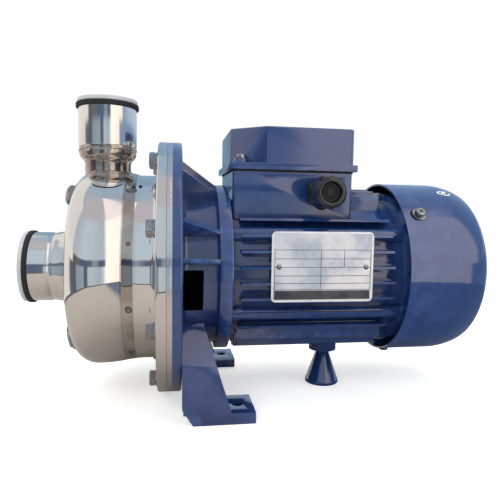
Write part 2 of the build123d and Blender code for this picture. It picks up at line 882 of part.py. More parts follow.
def make_casing_washers():
    """Spring washers under the bolt heads."""
    low_x = casing_flange_x - spring_washer_thickness
    hole_radius = bolt_diameter / 2 + fit_clearance
    for y, z in bolt_places():
        washer = rod(low_x, casing_flange_x, spring_washer_diameter / 2, y, z)
        yield washer - rod(low_x - 1, casing_flange_x + 1, hole_radius, y, z)


def fin_blades():
    """Fins of the housing's section, before they are trimmed to the round envelope."""
    blades = []
    reach = 2.2 * housing_envelope_radius
    for k in range(fin_rows_side):
        for z in (-(k + 0.5) * fin_pitch, (k + 0.5) * fin_pitch):
            blades.append(Pos(0, z) * Rectangle(reach, fin_thickness))
    for k in range(fin_rows_bottom):
        for y in (-(k + 0.5) * fin_pitch, (k + 0.5) * fin_pitch):
            blades.append(Pos(y, -reach / 4) * Rectangle(fin_thickness, reach / 2))
    for k in range(fin_rows_top):
        for y in (-(k + 0.5) * fin_pitch, (k + 0.5) * fin_pitch):
            blades.append(Pos(y, reach / 4) * Rectangle(fin_thickness, reach / 2))
    return blades


def make_housing():
    """Extruded housing: tube, tie-bolt bosses, trimmed fins, box seat and the lug for the foot."""
    plane = Plane((0, 0, shaft_height), x_dir=(0, 1, 0), z_dir=(1, 0, 0))
    bore = housing_core_radius - housing_wall
    core = plane * Circle(housing_core_radius)
    bosses = [plane * Pos(y, z) * Circle(tie_boss_radius) for y, z in tie_places()]
    tube_part = Pos(bracket_end_x, 0, 0) * extrude(core + bosses, housing_length)
    fins = Sketch() + fin_blades()
    fins = (fins & Circle(housing_envelope_radius)) - Circle(housing_core_radius - 1)
    fin_part = Pos(bracket_end_x + fin_start, 0, 0) * extrude(plane * fins, fin_length)
    lug_height = shaft_height - housing_core_radius - cone_top + 2
    lug = Pos(foot_cone_x, 0, cone_top) * extrude(Circle(lug_radius), lug_height)
    body = tube_part + fin_part + lug
    for x in rivet_places():
        boss = Plane((x, nameplate_back_y, shaft_height + nameplate_rise), z_dir=(0, 1, 0))
        body += extrude(boss * Circle(rivet_boss_radius), housing_envelope_radius - housing_core_radius + 1)
        body -= extrude(boss * Circle(rivet_radius + fit_clearance), rivet_length)
    body -= rod(bracket_end_x - 1, housing_end_x + 1, bore)
    for y, z in tie_places():
        body -= rod(bracket_end_x - 1, housing_end_x + 1, tie_bolt_radius + fit_clearance, y, z)
    body -= box_envelope(fit_clearance)
    wire_hole = Pos(box_start_x + box_length / 2, 0, shaft_height + housing_core_radius)
    body -= wire_hole * Cylinder(wire_hole_radius, 4 * housing_wall)
    screw_hole = extrude(Circle(cone_screw_radius + fit_clearance), cone_screw_length)
    screw = Pos(foot_cone_x, 0, cone_top - 1) * screw_hole
    return body - screw


def box_envelope(gap):
    """The space the terminal box takes around and above the housing's round core."""
    low, high = shaft_height + box_bottom - gap, shaft_height + box_top
    size = (box_length + 2 * gap, box_width + 2 * gap, high - low)
    block = Pos(box_start_x + box_length / 2, 0, (low + high) / 2) * Box(*size)
    return block - rod(box_start_x - 1 - gap, box_start_x + box_length + 1 + gap, housing_core_radius)


def make_terminal_box():
    """Cast box saddled on the housing, open at the top, with the cable entry on its near side."""
    low, high = shaft_height + box_bottom, shaft_height + box_top
    centre_x = box_start_x + box_length / 2
    inner = Box(box_length - 2 * box_wall, box_width - 2 * box_wall, high)
    body = box_envelope(0.0)
    uprights = body.edges().filter_by(Axis.Z)
    uprights = uprights.filter_by(lambda e: abs(abs(e.center().Y) - box_width / 2) < 0.1)
    body = fillet(uprights, box_corner_round)
    floor = rod(box_start_x, box_start_x + box_length, housing_core_radius + box_floor)
    pocket = Pos(centre_x, 0, low + high / 2) * inner - floor
    body -= pocket
    post_radius = lid_screw_radius + lid_screw_post
    for x, y in lid_screw_places():
        post = Pos(x, y, high - lid_screw_post_depth) * extrude(Circle(post_radius), lid_screw_post_depth)
        body += post
        hole_depth = lid_screw_post_depth - 2.0
        body -= Pos(x, y, high - hole_depth) * extrude(Circle(lid_screw_radius + fit_clearance), 2 * hole_depth)
    body -= Pos(centre_x, 0, low) * Cylinder(wire_hole_radius, 2 * box_height())
    entry = Plane((gland_x, -box_width / 2 - 1, shaft_height + gland_height), z_dir=(0, 1, 0))
    return body - extrude(entry * Circle(gland_thread_radius + fit_clearance), box_wall + 2)


def box_height():
    """Height of the box's own walls above the housing's round core."""
    return box_top - box_bottom - 16.0


def lid_screw_places():
    """Centres of the lid's two screws, at opposite corners: near the pump in front, and far from it behind."""
    x_mid = box_start_x + box_length / 2
    dx = box_length / 2 - lid_screw_inset
    dy = box_width / 2 - lid_screw_inset
    return [(x_mid - dx, -dy), (x_mid + dx, dy)]


def lid_plan(grow):
    """The lid's flange as seen from above, grown past the box on every side."""
    return Rectangle(box_length + 2 * grow, box_width + 2 * grow)


def make_gasket():
    """Flat gasket frame between box and lid."""
    z = shaft_height + box_top
    frame = lid_plan(0.0) - Rectangle(box_length - 2 * box_wall, box_width - 2 * box_wall)
    for x, y in lid_screw_places():
        x -= box_start_x + box_length / 2
        frame += Pos(x, y) * Circle(lid_screw_radius + lid_screw_post)
        frame -= Pos(x, y) * Circle(lid_screw_radius + fit_clearance)
    return Pos(box_start_x + box_length / 2, 0, z) * extrude(frame, gasket_thickness)


def lid_crown_plan(inset):
    """The raised part of the lid from above, with a cut corner beside each screw."""
    half_x = box_length / 2 - inset
    half_y = box_width / 2 + lid_front_step - inset
    cut_x, cut_y = lid_corner_along, lid_corner_across
    small = lid_corner_small
    return make_face(Polyline(
        (-half_x + cut_x, -half_y),
        (half_x - small, -half_y),
        (half_x, -half_y + small),
        (half_x, half_y - cut_y),
        (half_x - cut_x, half_y),
        (-half_x + small, half_y),
        (-half_x, half_y - small),
        (-half_x, -half_y + cut_y),
        close=True,
    ))


def make_lid():
    """Lid: flange over the box's rim and a hollow raised crown with cut corners."""
    z0 = shaft_height + box_top + gasket_thickness
    z1 = z0 + lid_flange_height
    top = shaft_height + lid_top
    x_mid = box_start_x + box_length / 2
    place = Pos(x_mid, 0, 0)
    flange = place * Pos(0, 0, z0) * extrude(lid_plan(lid_overhang), lid_flange_height)
    crown = place * Pos(0, 0, z0) * extrude(lid_crown_plan(0.0), top - z0)
    crown = fillet(crown.faces().sort_by(Axis.Z)[-1].edges(), lid_edge_round)
    hollow = place * Pos(0, 0, z0 - 1) * extrude(lid_crown_plan(lid_wall), top - lid_wall - z0 + 1)
    body = flange + crown
    for x, y in lid_screw_places():
        body += Pos(x, y, z1) * extrude(Circle(lid_boss_radius), lid_boss_height)
    body -= hollow
    post = Circle(lid_screw_radius + lid_screw_post)
    for x, y in lid_screw_places():
        body += Pos(x, y, z0) * extrude(post, lid_flange_height + lid_boss_height)
        body -= Pos(x, y, z0 - 1) * extrude(Circle(lid_screw_radius + fit_clearance), top - z0)
    return body


def make_lid_screws():
    """Pan-head screws at the lid's corners."""
    seat = shaft_height + box_top + gasket_thickness + lid_flange_height + lid_boss_height
    for x, y in lid_screw_places():
        head = Pos(x, y, seat) * extrude(Circle(lid_screw_head_radius), lid_screw_head_height)
        head = fillet(head.edges().filter_by(GeomType.CIRCLE).sort_by(Axis.Z)[-1], lid_screw_head_height / 2)
        low = shaft_height + box_top - lid_screw_grip
        yield head + Pos(x, y, low) * extrude(Circle(lid_screw_radius), seat - low)


def stud_places():
    """Two rows of three terminal studs."""
    x_mid = box_start_x + box_length / 2
    return [(x_mid + i * stud_pitch, j * stud_pitch / 2) for i in (-1, 0, 1) for j in (-1, 1)]


def make_terminal_board():
    """Moulded board on two feet that stand on the box's floor."""
    x_mid = box_start_x + box_length / 2
    z = shaft_height + board_height
    plate = Pos(x_mid, board_y, z) * Box(board_length, board_width, board_thickness)
    for x, y in stud_places():
        plate -= Pos(x, y + board_y, z) * Cylinder(stud_radius + fit_clearance, 2 * board_thickness)
    for side in (-1, 1):
        x = x_mid + side * (board_length / 2 - board_foot / 2)
        foot = Pos(x, board_y, z - board_foot_height / 2) * Box(board_foot, board_width, board_foot_height)
        plate += foot - rod(box_start_x, box_start_x + box_length, housing_core_radius + box_floor)
    return plate


def make_terminal_studs():
    """Brass studs with a nut above and a shoulder below the board."""
    z = shaft_height + board_height
    for x, y in stud_places():
        low = z - board_thickness / 2 - stud_nut_thickness
        stud = Pos(x, y + board_y, low) * extrude(Circle(stud_radius), stud_length)
        nut = extrude(RegularPolygon(stud_nut_across_flats / 2, 6, major_radius=False), stud_nut_thickness)
        yield stud + Pos(x, y + board_y, z + board_thickness / 2) * nut + Pos(x, y + board_y, low) * nut


def gland_rod(start, length, radius):
    """A round bar on the gland's line, from a distance outside the box's near face."""
    plane = Plane((gland_x, -box_width / 2 - start, shaft_height + gland_height), z_dir=(0, -1, 0))
    return extrude(plane * Circle(radius), length)


def make_gland_body():
    """Threaded entry with a hexagon collar and an outer thread for the dome nut."""
    plane = Plane((gland_x, -box_width / 2, shaft_height + gland_height), z_dir=(0, -1, 0))
    collar = extrude(plane * RegularPolygon(gland_hex / 2, 6, major_radius=False), gland_hex_thickness)
    inner_end = box_wall + gland_inner_length
    inner = gland_rod(-inner_end, inner_end, gland_thread_radius)
    outer = gland_rod(gland_hex_thickness, gland_nut_length - 8.0, gland_thread_radius)
    bore = gland_rod(-inner_end - 1, 2 * inner_end + gland_nut_length, gland_bore_radius)
    return collar + inner + outer - bore


def make_gland_nut():
    """Ribbed dome nut with a rounded end."""
    shell = gland_rod(gland_hex_thickness, gland_nut_length, gland_nut_radius)
    end = shell.edges().filter_by(GeomType.CIRCLE).sort_by(Axis.Y)[0]
    shell = fillet(end, gland_dome_round)
    shell -= gland_rod(gland_hex_thickness - 1, gland_nut_length - 7.0, gland_thread_radius + fit_clearance)
    return shell - gland_rod(gland_hex_thickness, gland_nut_length + 1, gland_bore_radius)


def make_rear_shield():
    """Rear end shield: disc with spigot, bearing boss, bolt holes and three ears for the cowl."""
    x0 = housing_end_x
    spigot_radius = housing_core_radius - housing_wall - fit_clearance
    disc = tube(x0, x0 + shield_thickness, shield_radius, shaft_fan_radius + 4.0)
    spigot = tube(x0 - shield_spigot_length, x0 + 1, spigot_radius, spigot_radius - spigot_wall)
    boss = tube(rear_bearing_x - 1.0, x0 + shield_thickness, rear_boss_radius, shaft_fan_radius + 4.0)
    seat = rod(rear_bearing_x - 2.0, rear_bearing_x + bearing_width + wave_washer_thickness,
               bearing_outer_radius + seat_clearance)
    body = disc + spigot + boss - seat
    ear_radius = cowl_radius - cowl_wall - fit_clearance / 2
    for angle in cowl_screw_angles:
        ring = tube(x0, cowl_screw_x + ear_half, ear_radius, ear_radius - ear_thickness)
        wedge = Pos(0, 0, shaft_height + cowl_radius / 2) * Box(1000, 2 * ear_half, cowl_radius)
        foot = tube(x0, x0 + shield_thickness, ear_radius, shield_radius - 2)
        body += about_shaft((ring + foot) & wedge, 90.0 - angle)
    for y, z in tie_places():
        body -= rod(x0 - 1, x0 + shield_thickness + 1, tie_bolt_radius + fit_clearance, y, z)
    for angle in cowl_screw_angles:
        hole = radial_bar(cowl_radius - 20, cowl_radius, cowl_screw_radius + fit_clearance)
        body -= about_shaft(hole, 90.0 - angle)
    return body


def radial_bar(low, high, radius):
    """A bar that stands straight up from the shaft line at the cowl screws' station."""
    return Pos(cowl_screw_x, 0, shaft_height + low) * extrude(Circle(radius), high - low)


def cowl_profile(inset):
    """Half section of the cowl: cylinder, long shoulder, rounded corner and slightly domed end."""
    z = shaft_height
    edge = (cowl_start_x, 0, z + cowl_radius - inset)
    bend = (cowl_start_x + cowl_cylinder_length, 0, z + cowl_radius - inset)
    corner = (cowl_corner_x - inset / 2, 0, z + cowl_corner_radius - inset)
    end = (cowl_face_x - inset, 0, z + cowl_face_radius - inset / 2)
    middle = (cowl_end_x - inset, 0, z)
    side = Line(edge, bend)
    shoulder = TangentArc(bend, corner, tangent=(1, 0, 0))
    turn = TangentArc(corner, end, tangent=shoulder % 1)
    close = [Line(end, middle), Line(middle, (cowl_start_x, 0, z)), Line((cowl_start_x, 0, z), edge)]
    return make_face([side, shoulder, turn, *close])


def make_cowl():
    """Pressed fan cowl with rings of air slots in its end and its three screw holes."""
    body = revolve(cowl_profile(0.0), shaft_line, 360)
    body -= revolve(cowl_profile(cowl_wall), shaft_line, 360)
    plane = Plane((cowl_corner_x - 4, 0, shaft_height), x_dir=(0, 1, 0), z_dir=(1, 0, 0))
    slots = []
    for row in range(grille_rows):
        radius = grille_first_radius + row * grille_pitch
        count = grille_slot_count if row else grille_slot_count // 2
        sweep_angle = 360.0 / count * grille_open_share
        for k in range(count):
            start = 360.0 * k / count + (180.0 / count if row % 2 else 0.0)
            arc = CenterArc((0, 0), radius, start, sweep_angle)
            slots.append(SlotArc(arc, grille_slot_width))
    body -= extrude(plane * (Sketch() + slots), 60)
    for angle in cowl_screw_angles:
        hole = radial_bar(cowl_radius - 5, cowl_radius + 5, cowl_screw_radius + fit_clearance)
        body -= about_shaft(hole, 90.0 - angle)
    return body


def make_cowl_screws():
    """Pan-head screws pointing at the shaft line."""
    seat = cowl_radius + cowl_washer_thickness
    for angle in cowl_screw_angles:
        head = radial_bar(seat, seat + cowl_screw_head_height, cowl_screw_head_radius)
        top = head.edges().filter_by(GeomType.CIRCLE).sort_by(Axis.Z)[-1]
        head = fillet(top, cowl_screw_head_height * 0.45)
        shank = radial_bar(cowl_radius - cowl_wall - ear_thickness - 1, seat, cowl_screw_radius)
        yield about_shaft(head + shank, 90.0 - angle)


def make_cowl_washers():
    """Flat washers under the cowl screws, resting on the crown of the cowl."""
    for angle in cowl_screw_angles:
        ring = radial_bar(cowl_radius, cowl_radius + cowl_washer_thickness, cowl_washer_radius)
        ring -= radial_bar(cowl_radius - 9, cowl_radius + 9, cowl_screw_radius + fit_clearance)
        yield about_shaft(ring, 90.0 - angle)


def make_fan():
    """Straight-bladed fan: hub, disc and radial blades."""
    hub = tube(fan_x, fan_x + fan_hub_length, fan_hub_radius, shaft_fan_radius)
    disc = tube(fan_x, fan_x + fan_disc_thickness, fan_disc_radius, fan_hub_radius - 1)
    wheel = hub + disc
    blade_outline = [
        (fan_x, fan_hub_radius - 1),
        (fan_x, fan_radius),
        (fan_x + fan_blade_depth * 0.7, fan_radius - 4),
        (fan_x + fan_blade_depth, fan_radius * 0.55),
        (fan_x + fan_blade_depth * 0.85, fan_hub_radius - 1),
    ]
    blade = extrude(ring_profile(blade_outline), fan_blade_thickness / 2, both=True)
    for k in range(fan_blade_count):
        wheel += about_shaft(blade, 360.0 * k / fan_blade_count)
    return wheel


def make_stator_core():
    """Lamination stack with winding slots open to the bore."""
    plane = Plane((stator_start_x, 0, shaft_height), x_dir=(0, 1, 0), z_dir=(1, 0, 0))
    section = Circle(housing_core_radius - housing_wall - fit_clearance / 2) - Circle(stator_bore_radius)
    section -= slot_pattern(slot_width, 0.0)
    return extrude(plane * section, stator_length)


def slot_pattern(width, inset):
    """The ring of winding slots in the stator's section, drawn past the bore."""
    low = stator_bore_radius - slot_lip
    high = stator_bore_radius + slot_lip + slot_depth - inset
    bar = Pos((low + high) / 2, 0) * Rectangle(high - low, width)
    return [Rot(0, 0, 360.0 * k / slot_count) * bar for k in range(slot_count)]


def make_windings():
    """Copper end turns at both ends, joined by the bars in the slots."""
    low = stator_bore_radius + slot_lip + 1.0
    high = low + winding_wall
    x0, x1 = stator_start_x, stator_start_x + stator_length
    ends = tube(x0 - winding_overhang, x0 - 0.2, high, low) + tube(x1 + 0.2, x1 + winding_overhang, high, low)
    plane = Plane((x0 - 1, 0, shaft_height), x_dir=(0, 1, 0), z_dir=(1, 0, 0))
    bar_section = Sketch() + slot_pattern(slot_width - 2 * fit_clearance, fit_clearance)
    bar_section -= Circle(stator_bore_radius + slot_lip)
    return ends + extrude(plane * bar_section, stator_length + 2)


def make_rotor_core():
    """Rotor stack with its cast end rings."""
    radius = stator_bore_radius - air_gap
    x0, x1 = stator_start_x, stator_start_x + stator_length
    ring_outer = radius - 1.5
    ring_inner = ring_outer - end_ring_wall
    return turned(
        (x0, shaft_core_radius),
        (x1, shaft_core_radius),
        (x1, ring_inner),
        (x1 + end_ring_length, ring_inner),
        (x1 + end_ring_length, ring_outer),
        (x1, ring_outer),
        (x1, radius),
        (x0, radius),
        (x0, ring_outer),
        (x0 - end_ring_length, ring_outer),
        (x0 - end_ring_length, ring_inner),
        (x0, ring_inner),
    )


def make_tie_bolts():
    """Long bolts from the rear shield through the housing into the bracket."""
    seat = housing_end_x + shield_thickness
    for y, z in tie_places():
        head = hexagon(seat, seat + tie_bolt_head_length, tie_bolt_head_across_flats, y, z)
        yield head + rod(bracket_end_x - tie_bolt_grip + 1, seat, tie_bolt_radius, y, z)


def rivet_places():
    """The nameplate rivets' stations along the housing."""
    return [nameplate_x + side * rivet_spacing / 2 for side in (-1, 1)]


def make_nameplate():
    """Thin plate on the tips of the near fins, with rounded corners and two rivet holes."""
    centre = (nameplate_x, nameplate_back_y, shaft_height + nameplate_rise)
    plane = Plane(centre, x_dir=(1, 0, 0), z_dir=(0, -1, 0))
    outline = RectangleRounded(nameplate_length, nameplate_height, nameplate_corner)
    for side in (-1, 1):
        outline -= Pos(side * rivet_spacing / 2, 0) * Circle(rivet_radius + fit_clearance)
    return extrude(plane * outline, nameplate_thickness)


def make_rivets():
    """Round-head rivets of the nameplate, set into the fin behind them."""
    front_y = nameplate_back_y - nameplate_thickness
    for x in rivet_places():
        plane = Plane((x, front_y, shaft_height + nameplate_rise), z_dir=(0, -1, 0))
        head = extrude(plane * Circle(rivet_head_radius), rivet_head_height)
        yield head + extrude(plane * Circle(rivet_radius), -rivet_length)


def make_cone():
    """Cone foot: slim at the lug, with a short cylindrical lip on the ground."""
    outline = [
        (cone_screw_radius + fit_clearance, 0),
        (cone_base_radius, 0),
        (cone_base_radius, cone_lip_height),
        (cone_tip_radius, cone_top),
        (cone_screw_radius + fit_clearance, cone_top),
    ]
    profile = make_face(Polyline(*[(foot_cone_x + r, 0, h) for r, h in outline], close=True))
    cone = revolve(profile, Axis((foot_cone_x, 0, 0), (0, 0, 1)), 360)
    recess = extrude(Circle(cone_screw_head_radius + fit_clearance), cone_recess_depth + 1)
    return cone - Pos(foot_cone_x, 0, -1) * recess


def make_cone_screw():
    """Screw from the cone's recess up into the housing's lug."""
    place = Pos(foot_cone_x, 0, cone_recess_depth - cone_screw_head_height)
    head = place * extrude(Circle(cone_screw_head_radius), cone_screw_head_height)
    return head + Pos(foot_cone_x, 0, cone_recess_depth) * extrude(
        Circle(cone_screw_radius), cone_top + cone_screw_length - cone_recess_depth - 4.0
    )


plugs = [plug_plane(0.0), plug_plane(drain_plug_angle)]

save("casing_shell", make_casing())
save("suction_socket", make_suction_socket())
save("discharge_socket", make_discharge_socket())
suction_mouth = Plane((suction_end_x + seal_ring_face, 0, shaft_height), z_dir=(-1, 0, 0))
discharge_mouth = Plane((discharge_x, 0, shaft_height + discharge_height - seal_ring_face))
for port, mouth, outer, bore, lip in (
    ("suction", suction_mouth, suction_outer_radius, suction_bore_radius, suction_ring_lip),
    ("discharge", discharge_mouth, discharge_outer_radius, discharge_bore_radius, discharge_ring_lip),
):
    seal_ring, rim_ring = make_port_rings(outer, bore, lip)
    save(port + "_seal_ring", mouth * seal_ring)
    save(port + "_rim_ring", mouth * rim_ring)
for name, plug, head in (("priming", plugs[0], plug_head_height), ("drain", plugs[1], drain_head_height)):
    save(name + "_plug", on_dome(make_plug(head), plug))
    save(name + "_plug_washer", on_dome(make_plug_washer(), plug))
save("wear_ring", tube(casing_front_x + casing_wall, wear_ring_end, wear_ring_radius,
                       impeller_eye_radius + impeller_shroud + wear_ring_clearance))
save("casing_cover", make_cover())
save("casing_o_ring", make_o_ring())
save("casing_bolts", *make_casing_bolts())
save("casing_bolt_washers", *make_casing_washers())

cup_inner = seal_seat_radius
save("seal_seat_cup", turned(
    (seal_chamber_x, shaft_seal_radius + 3.0),
    (seal_chamber_x, seal_chamber_radius),
    (seal_chamber_x - seal_cup_length, seal_chamber_radius),
    (seal_chamber_x - seal_cup_length, cup_inner),
    (seal_chamber_x - seal_cup_floor, cup_inner),
    (seal_chamber_x - seal_cup_floor, shaft_seal_radius + 3.0),
))
save("seal_seat", tube(seal_ring_x + seal_face_thickness + seal_face_gap, seal_chamber_x - seal_cup_floor,
                       cup_inner, shaft_seal_radius + 1.0))
seal_face_x = seal_ring_x + seal_face_thickness
save("seal_rotating_ring", tube(seal_ring_x, seal_face_x, seal_face_radius, shaft_seal_radius))
save("seal_bellows", tube(impeller_hub_end, seal_ring_x, seal_bellows_radius, shaft_seal_radius))
save("seal_spring", make_seal_spring())

save("bracket", make_bracket())
for place, x in (("front", front_bearing_x), ("rear", rear_bearing_x)):
    outer_ring, inner_ring = bearing_rings(x)
    save(place + "_bearing_outer_ring", outer_ring)
    save(place + "_bearing_inner_ring", inner_ring)
washer_x = rear_bearing_x + bearing_width
save("wave_washer", tube(washer_x, washer_x + wave_washer_thickness, bearing_outer_radius - 0.5,
                         bearing_outer_radius - bearing_ring))

save("motor_housing", make_housing())
save("stator_core", make_stator_core())
save("stator_windings", make_windings())
save("rear_end_shield", make_rear_shield())
save("tie_bolts", *make_tie_bolts())
save("fan_cowl", make_cowl())
save("cowl_screws", *make_cowl_screws())
save("cowl_screw_washers", *make_cowl_washers())

save("terminal_box", make_terminal_box())
save("lid_gasket", make_gasket())
save("terminal_lid", make_lid())
save("lid_screws", *make_lid_screws())
save("terminal_board", make_terminal_board())
save("terminal_studs", *make_terminal_studs())
save("gland_body", make_gland_body())
save("gland_nut", make_gland_nut())
save("gland_plug", gland_rod(gland_hex_thickness, gland_nut_length, gland_plug_radius))

save("nameplate", make_nameplate())
save("nameplate_rivets", *make_rivets())
save("cone_foot", make_cone())
save("cone_foot_screw", make_cone_screw())

save("shaft", make_shaft())
save("impeller", make_impeller())
save("impeller_key", make_impeller_key())
save("impeller_nut", hexagon(impeller_hub_start - impeller_nut_thickness, impeller_hub_start,
                             impeller_nut_across_flats)
     - rod(shaft_thread_start - 9, impeller_hub_start + 1, shaft_thread_radius))
save("water_slinger", tube(slinger_x, slinger_x + slinger_thickness, slinger_radius, shaft_seal_radius))
save("rotor_core", make_rotor_core())
save("fan", make_fan())
clip_x = fan_x + fan_hub_length
clip_groove = shaft_fan_radius - fan_clip_depth
save("fan_clip", tube(clip_x, clip_x + fan_clip_thickness, shaft_fan_radius + 2.5, clip_groove))
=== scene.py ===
"""Looks for the self-priming pump: finishes, fine detail, studio and camera around the packed CAD part."""

import logging
import math
from dataclasses import dataclass
from enum import Enum
from functools import lru_cache
from typing import Callable, Iterable, Sequence

import bmesh
import bpy
from mathutils import Matrix, Vector


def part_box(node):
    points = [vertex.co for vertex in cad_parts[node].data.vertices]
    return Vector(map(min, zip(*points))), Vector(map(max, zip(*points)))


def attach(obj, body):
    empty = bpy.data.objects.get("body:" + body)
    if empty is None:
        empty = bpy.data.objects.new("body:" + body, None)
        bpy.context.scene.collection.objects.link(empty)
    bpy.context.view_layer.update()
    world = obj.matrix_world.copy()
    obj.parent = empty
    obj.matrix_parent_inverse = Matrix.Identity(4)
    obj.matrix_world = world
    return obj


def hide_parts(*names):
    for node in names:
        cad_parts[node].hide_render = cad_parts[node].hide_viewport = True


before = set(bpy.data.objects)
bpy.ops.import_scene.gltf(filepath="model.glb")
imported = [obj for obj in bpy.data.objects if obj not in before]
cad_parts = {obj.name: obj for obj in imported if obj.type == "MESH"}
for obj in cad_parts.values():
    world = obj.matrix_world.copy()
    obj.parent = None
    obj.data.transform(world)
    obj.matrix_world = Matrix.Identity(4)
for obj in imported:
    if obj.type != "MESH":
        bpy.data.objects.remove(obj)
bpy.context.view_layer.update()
LOG = logging.getLogger("self_priming_pump")

MM = 0.001
SHAFT_HEIGHT = 122.0
Point = tuple[float, float]
Colour = tuple[float, float, float]
Stops = tuple[tuple[float, Colour], ...]
Socket = bpy.types.NodeSocket


class Body(Enum):
    """The CAD bodies that pieces ride on."""

    PUMP = "pump"
    ROTOR = "rotor"


class End(Enum):
    """The two ends of a node's box along an axis."""

    LOW = 0
    HIGH = 1


def reach_of(node: str, axis: str, end: End) -> float:
    """How far a CAD node reaches.

    Args:
        node: The node's name.
        axis: One of x, y and z.
        end: Which end of its box.

    Returns:
        The coordinate in millimetres.
    """
    return getattr(Vector(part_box(node)[end.value]), axis) / MM


def height_of(node: str, end: End) -> float:
    """How high a CAD node reaches above the shaft line, in millimetres."""
    return reach_of(node, "z", end) - SHAFT_HEIGHT


def shaft_place(x: float = 0.0) -> Matrix:
    """The frame of turned pieces on the shaft line: local Z runs along +X from station x (mm)."""
    return Matrix.Translation((x * MM, 0, SHAFT_HEIGHT * MM)) @ Matrix.Rotation(math.pi / 2, 4, "Y")


def upright_place(x: float, y: float = 0.0, z: float = 0.0) -> Matrix:
    """The frame of turned pieces that stand upright at (x, y), z millimetres above the ground."""
    return Matrix.Translation((x * MM, y * MM, z * MM))


def aimed_place(origin: Sequence[float], direction: Sequence[float]) -> Matrix:
    """A frame at origin (mm) whose local Z points along direction."""
    turn = Vector(direction).to_track_quat("Z", "Y").to_matrix().to_4x4()
    return Matrix.Translation(Vector(origin) * MM) @ turn


def around_shaft(angle: float) -> Matrix:
    """A turn about the shaft line, in degrees from straight up towards +Y."""
    centre = Matrix.Translation((0, 0, SHAFT_HEIGHT * MM))
    return centre @ Matrix.Rotation(math.radians(-angle), 4, "X") @ centre.inverted()


class Wiring:
    """Adds and joins shader nodes in one node tree."""

    def __init__(self, tree: bpy.types.NodeTree) -> None:
        """Start with an empty tree."""
        self.tree = tree
        tree.nodes.clear()

    def add(self, kind: str, **settings: object) -> bpy.types.Node:
        """Add a node and set its properties.

        Args:
            kind: Blender's identifier of the node, without the ShaderNode prefix.
            settings: Properties of the node, by name.

        Returns:
            The new node.
        """
        node = self.tree.nodes.new(kind if kind.startswith("Node") else "ShaderNode" + kind)
        for name, value in settings.items():
            setattr(node, name, value)
        return node

    def feed(self, socket: Socket, value: object) -> None:
        """Join an output socket to an input, or set the input's own value.

        Args:
            socket: The input.
            value: An output socket, a number, a vector or a colour.
        """
        if isinstance(value, Socket):
            self.tree.links.new(value, socket)
        elif isinstance(value, tuple) and len(value) == 3 and socket.type == "RGBA":
            socket.default_value = (*value, 1.0)
        else:
            socket.default_value = value

    def math(self, operation: str, first: object, second: object = 0.0) -> Socket:
        """A math node's result.

        Args:
            operation: Blender's name of the operation.
            first: The first socket or number.
            second: The second socket or number.

        Returns:
            The result's socket.
        """
        node = self.add("Math", operation=operation)
        self.feed(node.inputs[0], first)
        self.feed(node.inputs[1], second)
        return node.outputs[0]

    def noise(
        self, vector: object, scale: object, detail: float = 3.0, roughness: float = 0.5
    ) -> Socket:
        """A noise texture's value.

        Args:
            vector: The coordinates.
            scale: The pattern's scale.
            detail: How many octaves it has.
            roughness: How strong the finer octaves are.

        Returns:
            The value's socket.
        """
        node = self.add("TexNoise")
        self.feed(node.inputs["Vector"], vector)
        self.feed(node.inputs["Scale"], scale)
        node.inputs["Detail"].default_value = detail
        node.inputs["Roughness"].default_value = roughness
        return node.outputs["Fac"]

    def ramp(
        self, value: object, low: float, high: float, out_low: float = 0.0, out_high: float = 1.0
    ) -> Socket:
        """The value carried smoothly from one range to another, and held at its ends.

        Args:
            value: The socket or number to carry over.
            low: Where the first range starts.
            high: Where the first range ends.
            out_low: What low becomes.
            out_high: What high becomes.

        Returns:
            The result's socket.
        """
        node = self.add("MapRange", interpolation_type="SMOOTHSTEP")
        for socket, number in zip(node.inputs, (value, low, high, out_low, out_high)):
            self.feed(socket, number)
        return node.outputs[0]

    def mix(self, share: object, first: object, second: object) -> Socket:
        """Two colours mixed by a share.

        Args:
            share: How much of the second colour shows.
            first: The first colour.
            second: The second colour.

        Returns:
            The mixed colour's socket.
        """
        node = self.add("Mix", data_type="RGBA")
        self.feed(node.inputs[0], share)
        self.feed(node.inputs[6], first)
        self.feed(node.inputs[7], second)
        return node.outputs[2]

    def group(self, tree: bpy.types.NodeTree, **values: object) -> bpy.types.Node:
        """Place a shared effect with its own values.

        Args:
            tree: The effect's node tree.
            values: Its inputs by name, with underscores for spaces.

        Returns:
            The group's node.
        """
        node = self.add("Group")
        node.node_tree = tree
        for name, value in values.items():
            self.feed(node.inputs[name.replace("_", " ")], value)
        return node


def new_group(
    name: str, inputs: Iterable[tuple[str, str, object]], outputs: Iterable[tuple[str, str]]
) -> tuple[Wiring, bpy.types.Node, bpy.types.Node]:
    """An empty shader node group with named sockets.

    Args:
        name: The group's name.
        inputs: Name, kind (Float, Vector or Color) and default of each input.
        outputs: Name and kind of each output.

    Returns:
        The wiring of the group's tree, its input node and its output node.
    """
    tree = bpy.data.node_groups.new(name, "ShaderNodeTree")
    for label, kind, default in inputs:
        socket = tree.interface.new_socket(label, in_out="INPUT", socket_type="NodeSocket" + kind)
        if default is not None:
            socket.default_value = default
    for label, kind in outputs:
        tree.interface.new_socket(label, in_out="OUTPUT", socket_type="NodeSocket" + kind)
    wires = Wiring(tree)
    return wires, wires.add("NodeGroupInput"), wires.add("NodeGroupOutput")


